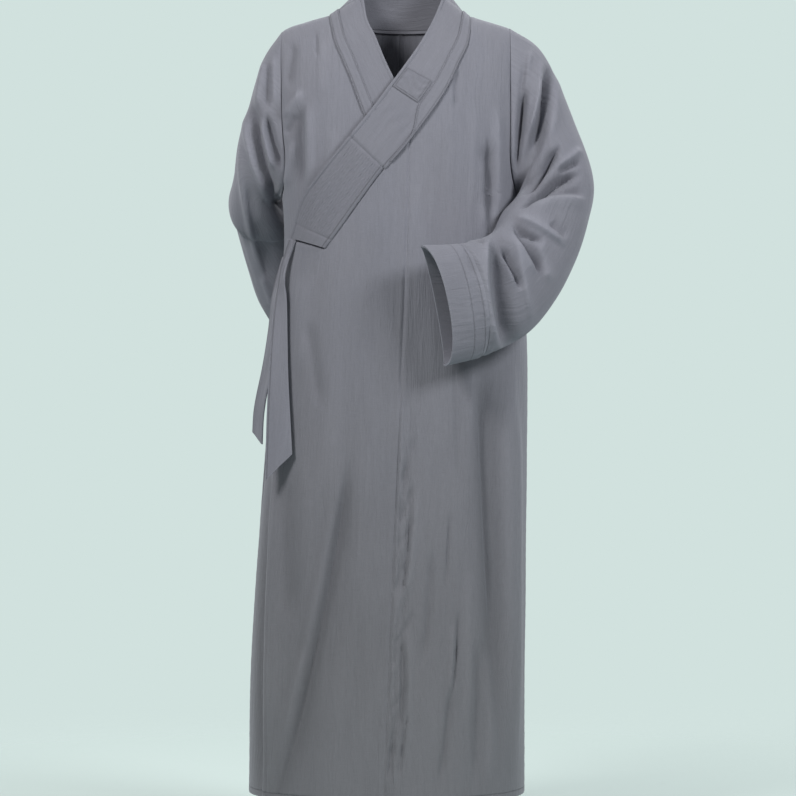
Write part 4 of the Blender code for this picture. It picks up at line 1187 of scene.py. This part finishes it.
def collar(stations, shares, lift, relief):
    """Grid of the collar band: rows along it, columns from its seam to its free edge."""
    k = np.asarray(stations)
    edges = []
    for cx, cz, cy in ((1, 2, 6), (3, 4, 7)):
        x = smooth(COLLAR, cx, k)
        z = smooth(COLLAR, cz, k)
        rows = COLLAR.copy()
        on = np.isnan(rows[:, cy])
        rows[on, cy] = depth(rows[on, cx], rows[on, cz], True) - rows[on, 5]
        edges.append((x, smooth(rows, cy, k), z))
    (sx, sy, sz), (fx, fy, fz) = edges
    behind = (k >= NECK_FROM) & (k <= NECK_TO)
    sz = np.where(behind, top_of(sx, False) + 0.0001, np.minimum(sz, ridge(sx)))
    lifted = depth(sx, sz, True) - smooth(COLLAR, 5, k)
    sy = np.where(behind, RIDGE_Y + NECK_BACK * neck_bow(sx), lifted)
    share = np.atleast_2d(shares)
    x = sx[:, None] + (fx - sx)[:, None] * share
    z = sz[:, None] + (fz - sz)[:, None] * share
    y = sy[:, None] + (fy - sy)[:, None] * share
    slope_x = (depth(x + 0.002, z, True) - depth(x - 0.002, z, True)) / 0.004
    slope_z = (depth(x, z + 0.002, True) - depth(x, z - 0.002, True)) / 0.004
    steep = np.sqrt(1.0 + np.minimum(slope_x**2 + slope_z**2, 3.0))
    chest = depth(x, z, True) - smooth(COLLAR, 5, k)[:, None] * steep
    part = ease((8.4 - k) / 1.4) + ease((k - 15.6) / 1.4)
    y = y + (chest - y) * part[:, None]
    p = np.stack([x, y, z], axis=-1)
    n = grid_normals(p)
    sense = np.sign((n * (p - np.array([0.0, 0.0, -0.35]))).sum(axis=-1).mean())
    swell = 0.0022 * np.sin(math.pi * share) * (1.0 - part[:, None])
    u, v = lengths(p)
    more = relief(k[:, None] + 0 * u, share + 0 * u, u, u[:, -1:] - u, v)
    p = p + n * (sense * (lift + swell + more))[..., None]
    return (p, more) if sense > 0 else (p[:, ::-1], more[:, ::-1])


def even_stations(start, stop, spacing):
    """An odd number of stations, evenly spaced along the middle of the band."""
    k = np.linspace(start, stop, 600)
    mid = (columns(COLLAR, (1, 2), k) + columns(COLLAR, (3, 4), k)) * 0.5
    deep = np.interp(k, [8.0, 12.0, 16.0], [-0.07, 0.09, -0.07])
    step = np.sqrt((np.diff(mid, axis=0) ** 2).sum(-1) + np.diff(deep) ** 2)
    at = np.concatenate([[0.0], np.cumsum(step)])
    count = int(at[-1] / spacing) // 2 * 2 + 1
    return np.interp(np.linspace(0.0, at[-1], count), at, k)


def rolled_edge(k, share, from_seam, from_free, along):
    """The seam drawn in, and a bead along the free edge with a line of stitches beside it."""
    bead = 0.0011 * bell(from_free - 0.0024, 0.0021)
    gutter = -0.0010 * bell(from_free - FREE_STITCH, 0.0011)
    seam = -0.0016 * bell(from_seam, 0.0021)
    return bead + gutter + seam


def band_relief(k, share, from_seam, from_free, along):
    """Edges of the band, small draws beside the cross seam and slack where it turns."""
    draws = bell(k - 4.2, 0.7) * 0.00035
    pulled = draws * np.sin(from_seam * 300.0 + 2.0 * np.sin(along * 90.0)) * np.sin(math.pi * share)
    slack = 0.0004 * np.sin(along * 40.0 + 1.3 * np.sin(along * 13.0)) * np.sin(math.pi * share)
    joined = -0.0016 * bell(k - COLLAR_JOIN, 0.035)
    return rolled_edge(k, share, from_seam, from_free, along) + pulled + slack + joined


def end_relief(k, share, from_seam, from_free, along):
    """Quilting rows down the length, a plain strip at the foot, and the sewn edges."""
    inside = ease((from_seam - 0.004) / 0.003) * ease((from_free - 0.009) / 0.003)
    inside = inside * ease((k - 0.42) / 0.05) * ease((2.95 - k) / 0.05)
    row = np.abs(np.sin(math.pi * (from_seam - 0.004) / QUILT_ROW)) ** 0.55
    quilt = 0.0009 * inside * (row - 0.75)
    draws = 0.0003 * inside * np.sin(along * 520.0 + 9.0 * np.sin(from_seam * 300.0))
    foot = -0.0009 * bell(k - 0.38, 0.035)
    joined = -0.0016 * bell(k - COLLAR_JOIN, 0.035)
    return rolled_edge(k, share, from_seam, from_free, along) + quilt + draws + foot + joined


collar_thread = thread("collar_thread", 0.84)


def fine_rows(name, lines, slot):
    """Rows of the collar's shorter stitches, in its own thread."""
    return sewn(name, lines, collar_thread, slot, 0.0030, 0.0023)


across = np.linspace(-0.045, 1.0, 43)
grid, fold = collar(even_stations(COLLAR_JOIN, COLLAR_END, BAND_STEP), across, 0.0, band_relief)
# The band's cotton is painted darker, painted shade
collar_band = cloth_sheet("neck_band", grid, BAND, fold,
                          cotton("cotton_neck_band", (), 0.55, 0.94, rim=FREE_STITCH),
                          rims=("right",))
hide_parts("collar_band")
stitches = fine_rows("neck_band_edge", [line_at(grid, "right", FREE_STITCH)], "collar_band")

across = np.linspace(0.0, 1.0, 91)
grid, fold = collar(even_stations(0.0, COLLAR_JOIN, END_STEP), across, 0.0, end_relief)
# The quilted end's cotton is painted darker, painted shade
collar_end = cloth_sheet("quilted_end", grid, BAND, fold,
                         cotton("cotton_quilted_end", (), 0.45, 0.88, rim=FREE_STITCH),
                         rims=("right",))
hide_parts("collar_end")
stitches = fine_rows("quilted_end_edge", [line_at(grid, "right", FREE_STITCH)], "collar_end")


# Collar border and patch
# A narrow strip sewn flat along the collar's seam, and one square patch that covers a join
# in the band. Both are single cloth with turned edges. One row of stitches holds the strip
# along its inner edge, and four rows hold the square.

STRIP = 0.0012          # wall of the strips sewn on top of the collar
OVER = STRIP + 0.0008   # their outer face above the band
BORDER_WIDE = 0.27      # the border's width as a share of the band
BORDER_SPAN = (3.3, 19.6)  # the stations between which it runs, to below the wrapped front
BORDER_ROW = 0.0020     # its row of stitches, in from its edge
PATCH_SPAN = (5.05, 6.0)   # the stations between which the patch lies
PATCH_ROW = 0.0028      # the patch's rows, in from its edges


def turned_edges(k, share, from_seam, from_free, along):
    """The two long edges roll under, and the cloth is a little hollow between them."""
    rolled = -0.0007 * (bell(from_seam, 0.0010) + bell(from_free, 0.0010))
    return rolled - 0.0004 * bell(from_seam - from_free, 0.0016)


stations = even_stations(*BORDER_SPAN, BAND_STEP)
taper = 0.12 + 0.88 * ease((stations - 4.2) / 0.9)
width = -0.035 + (BORDER_WIDE + 0.035) * taper[:, None] * np.linspace(0.0, 1.0, 15)[None, :]
grid, fold = collar(stations, width, OVER, turned_edges)
# The border's cotton is painted a little darker, painted shade
collar_border = cloth_sheet("collar_edging", grid, STRIP, fold,
                            cotton("cotton_edging", (), 0.5, 0.95, rim=0.0026, groove_shade=0.20),
                            rims=("left", "right"))
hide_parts("collar_border")
stitches = fine_rows("edging_rows", [line_at(grid, "right", BORDER_ROW)], "collar_border")


def patch_relief(k, share, from_seam, from_free, along):
    """Turned edges all round, and shallow puckers where the patch is drawn up."""
    last = along[-1:] - along
    rolled = -0.0010 * sum(bell(d, 0.0012) for d in (from_seam, from_free, along, last))
    inside = np.minimum(np.minimum(from_seam, from_free), np.minimum(along, last))
    drawn = 0.0005 * np.sin(along * 430.0 + 4.0 * np.sin(from_seam * 120.0)) * ease(inside / 0.006)
    return rolled + drawn


grid, fold = collar(np.linspace(*PATCH_SPAN, 41), np.linspace(BORDER_WIDE + 0.03, 0.93, 41),
                    OVER, patch_relief)
# The patch's cotton is painted darker, painted shade
collar_patch = cloth_sheet("collar_square", grid, STRIP, fold,
                           cotton("cotton_square", (), 0.6, 0.89, rim=0.0030, groove_shade=0.22))
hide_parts("collar_patch")
around = [line_at(grid, side, PATCH_ROW) for side in ("left", "right", "bottom", "top")]
stitches = fine_rows("square_rows", around, "collar_patch")


# Ties
# Two flat straps of doubled cotton, sewn on at the corner of the wrap and at the under
# front's side. They hang loose beside the body and end in a slanting cut.

# Distance along, x, z, width, y, turn of the face about the strip's length in degrees
TIE_FRONT = in_mm([
    (0, -173.5, -374, 14, -87, 20),
    (40, -188, -414.2, 13, -85, 60),
    (100, -192, -474, 22, -92, 25),
    (205, -194.5, -580, 31, -108, 10),
    (320, -194, -695, 41, -120, 5),
    (363, -193.5, -738, 43, -124, 5),
], bare=[5])
TIE_BACK = in_mm([
    (0, -191.2, -398, 12, -30, 80),
    (60, -202.5, -460, 26, -58, 64),
    (120, -207.5, -516, 33, -60, 64),
    (180, -216, -578, 34, -58, 60),
    (260, -230.5, -655, 34, -55, 60),
    (300, -232, -693, 34, -52, 60),
], bare=[5])


def tie_grid(table, slant, seed):
    """Flat strap hanging beside the body, cut slantwise at its lower end."""
    t = np.linspace(0.0, table[-1, 0], 151)
    x = smooth(table, 1, t)
    z = smooth(table, 2, t)
    half = smooth(table, 3, t) * 0.5
    y = smooth(table, 4, t)
    turn = np.radians(smooth(table, 5, t))
    across = np.linspace(1.0, -1.0, 25)[None, :]
    drop = slant * (t / t[-1])[:, None] ** 8 * across
    p = np.stack([x[:, None] - half[:, None] * np.cos(turn)[:, None] * across,
                  y[:, None] + half[:, None] * np.sin(turn)[:, None] * across,
                  z[:, None] + drop], axis=-1)[::-1]
    u, v = lengths(p)
    n = grid_normals(p)
    edge = np.minimum(u, u[:, -1:] - u)
    below_root = v[-1:] - v
    rolled = -0.0005 * bell(edge, 0.0012)
    slack = 0.0016 * crumple(u, v, seed, 60.0, 16.0) * ease(below_root / 0.03)
    gather = 0.0010 * np.sin(u * 900.0) * bell(below_root - 0.035, 0.03)
    move = rolled + slack + gather
    return p + n * move[..., None], move


TIE = 0.0024            # wall of the ties, folded double
TIE_ROW = 0.0030        # rows of stitches along their sides, in from the edge
TIE_FOOT_ROW = 0.0040   # and across their lower end
for name, node, table, slant, seed, root in (
        ("wrap_tie", "tie_front", TIE_FRONT, -0.021, 2.0, "wrapped_front"),
        ("side_tie", "tie_back", TIE_BACK, 0.010, 8.0, "under_front")):
    grid, fold = tie_grid(table, slant, seed)
    # The ties' cotton is painted a little darker, painted shade
    piece = cloth_sheet(name, grid, TIE, fold,
                        cotton("cotton_" + name, [("u", TIE_ROW)], 0.7, 0.94))
    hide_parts(node)
    around = [line_at(grid, "left", TIE_ROW), line_at(grid, "right", TIE_ROW),
              line_at(grid, "bottom", TIE_FOOT_ROW)]
    stitches = sewn(name + "_rows", around, body_thread, node)


# Studio
# A pale floor that fades out into an even pale background, two soft lights in front, from
# the left and from the right, two behind, and the camera square on at the hips' height.

FLOOR = -1.36           # the robe hangs at a standing wearer's height above it
bpy.ops.mesh.primitive_circle_add(vertices=96, radius=7.0, fill_type="NGON", location=(0, 0, FLOOR))
floor = bpy.context.object
floor.name = "floor"
bpy.ops.object.transform_apply(location=True)
floor_mat, tree, shader, wire = new_material("pale_floor")
shader.inputs["Base Color"].default_value = (0.593, 0.700, 0.676, 1.0)
shader.inputs["Roughness"].default_value = 0.9
shader.inputs["Specular IOR Level"].default_value = 0.1
place = wire.node("ShaderNodeTexCoord", {}, {}, "Object")
x = wire.node("ShaderNodeSeparateXYZ", {}, {0: place})
y = x.also(1)
away = wire.maths("SQRT", x * x + y * y)
fade = wire.node("ShaderNodeMapRange", {"interpolation_type": "SMOOTHSTEP"},
                 {"Value": away, "From Min": 0.5, "From Max": 2.2})
clear = wire.node("ShaderNodeBsdfTransparent", {}, {})
both = wire.node("ShaderNodeMixShader", {}, {0: fade, 1: Wire(tree, shader.outputs[0]), 2: clear})
tree.links.new(both.socket, tree.nodes["Material Output"].inputs["Surface"])
floor.data.materials.append(floor_mat)

world = bpy.data.worlds.new("pale_room")
world.use_nodes = True
bpy.context.scene.world = world
tree = world.node_tree
wire = Wire(tree)
seen = wire.node("ShaderNodeLightPath", {}, {}, "Is Camera Ray")
room = wire.node("ShaderNodeMix", {"data_type": "RGBA"},
                 {0: seen, 6: (0.175, 0.178, 0.182, 1.0), 7: (0.638, 0.753, 0.730, 1.0)}, 2)
tree.links.new(room.socket, tree.nodes["Background"].inputs["Color"])


def soft_light(name, place, aim, size, power, colour):
    data = bpy.data.lights.new(name, "AREA")
    data.shape = "DISK"
    data.size = size
    data.energy = power
    data.color = colour
    lamp = bpy.data.objects.new(name, data)
    lamp.location = place
    lamp.rotation_euler = (Vector(aim) - Vector(place)).to_track_quat("-Z", "Y").to_euler()
    bpy.context.scene.collection.objects.link(lamp)


soft_light("left_of_view", (-1.45, -2.0, 1.30), (0.0, 0.0, -0.20), 0.9, 60.0, (1.0, 0.99, 0.97))
soft_light("right_of_view", (1.9, -1.7, 0.95), (0.0, 0.0, -0.25), 0.9, 48.0, (0.98, 0.99, 1.0))
soft_light("behind_left", (2.2, 3.0, 1.8), (0.0, 0.0, -0.5), 1.8, 100.0, (1.0, 1.0, 1.0))
soft_light("behind_right", (-2.4, 2.6, 1.2), (0.0, 0.0, -0.5), 1.8, 65.0, (1.0, 1.0, 1.0))

VIEW_FROM = 4.5         # the camera in front of the robe's middle
VIEW_WIDE = 1.305       # what it takes in there, across
camera_data = bpy.data.cameras.new("camera")
camera_data.sensor_width = 36.0
camera_data.lens = 36.0 * VIEW_FROM / VIEW_WIDE
camera_data.shift_x = -0.0025
camera = bpy.data.objects.new("camera", camera_data)
camera.location = (0.0, -VIEW_FROM, -0.628)
camera.rotation_euler = (math.radians(90.0), 0.0, 0.0)
bpy.context.scene.collection.objects.link(camera)
bpy.context.scene.camera = camera
bpy.context.scene.view_settings.view_transform = "Standard"
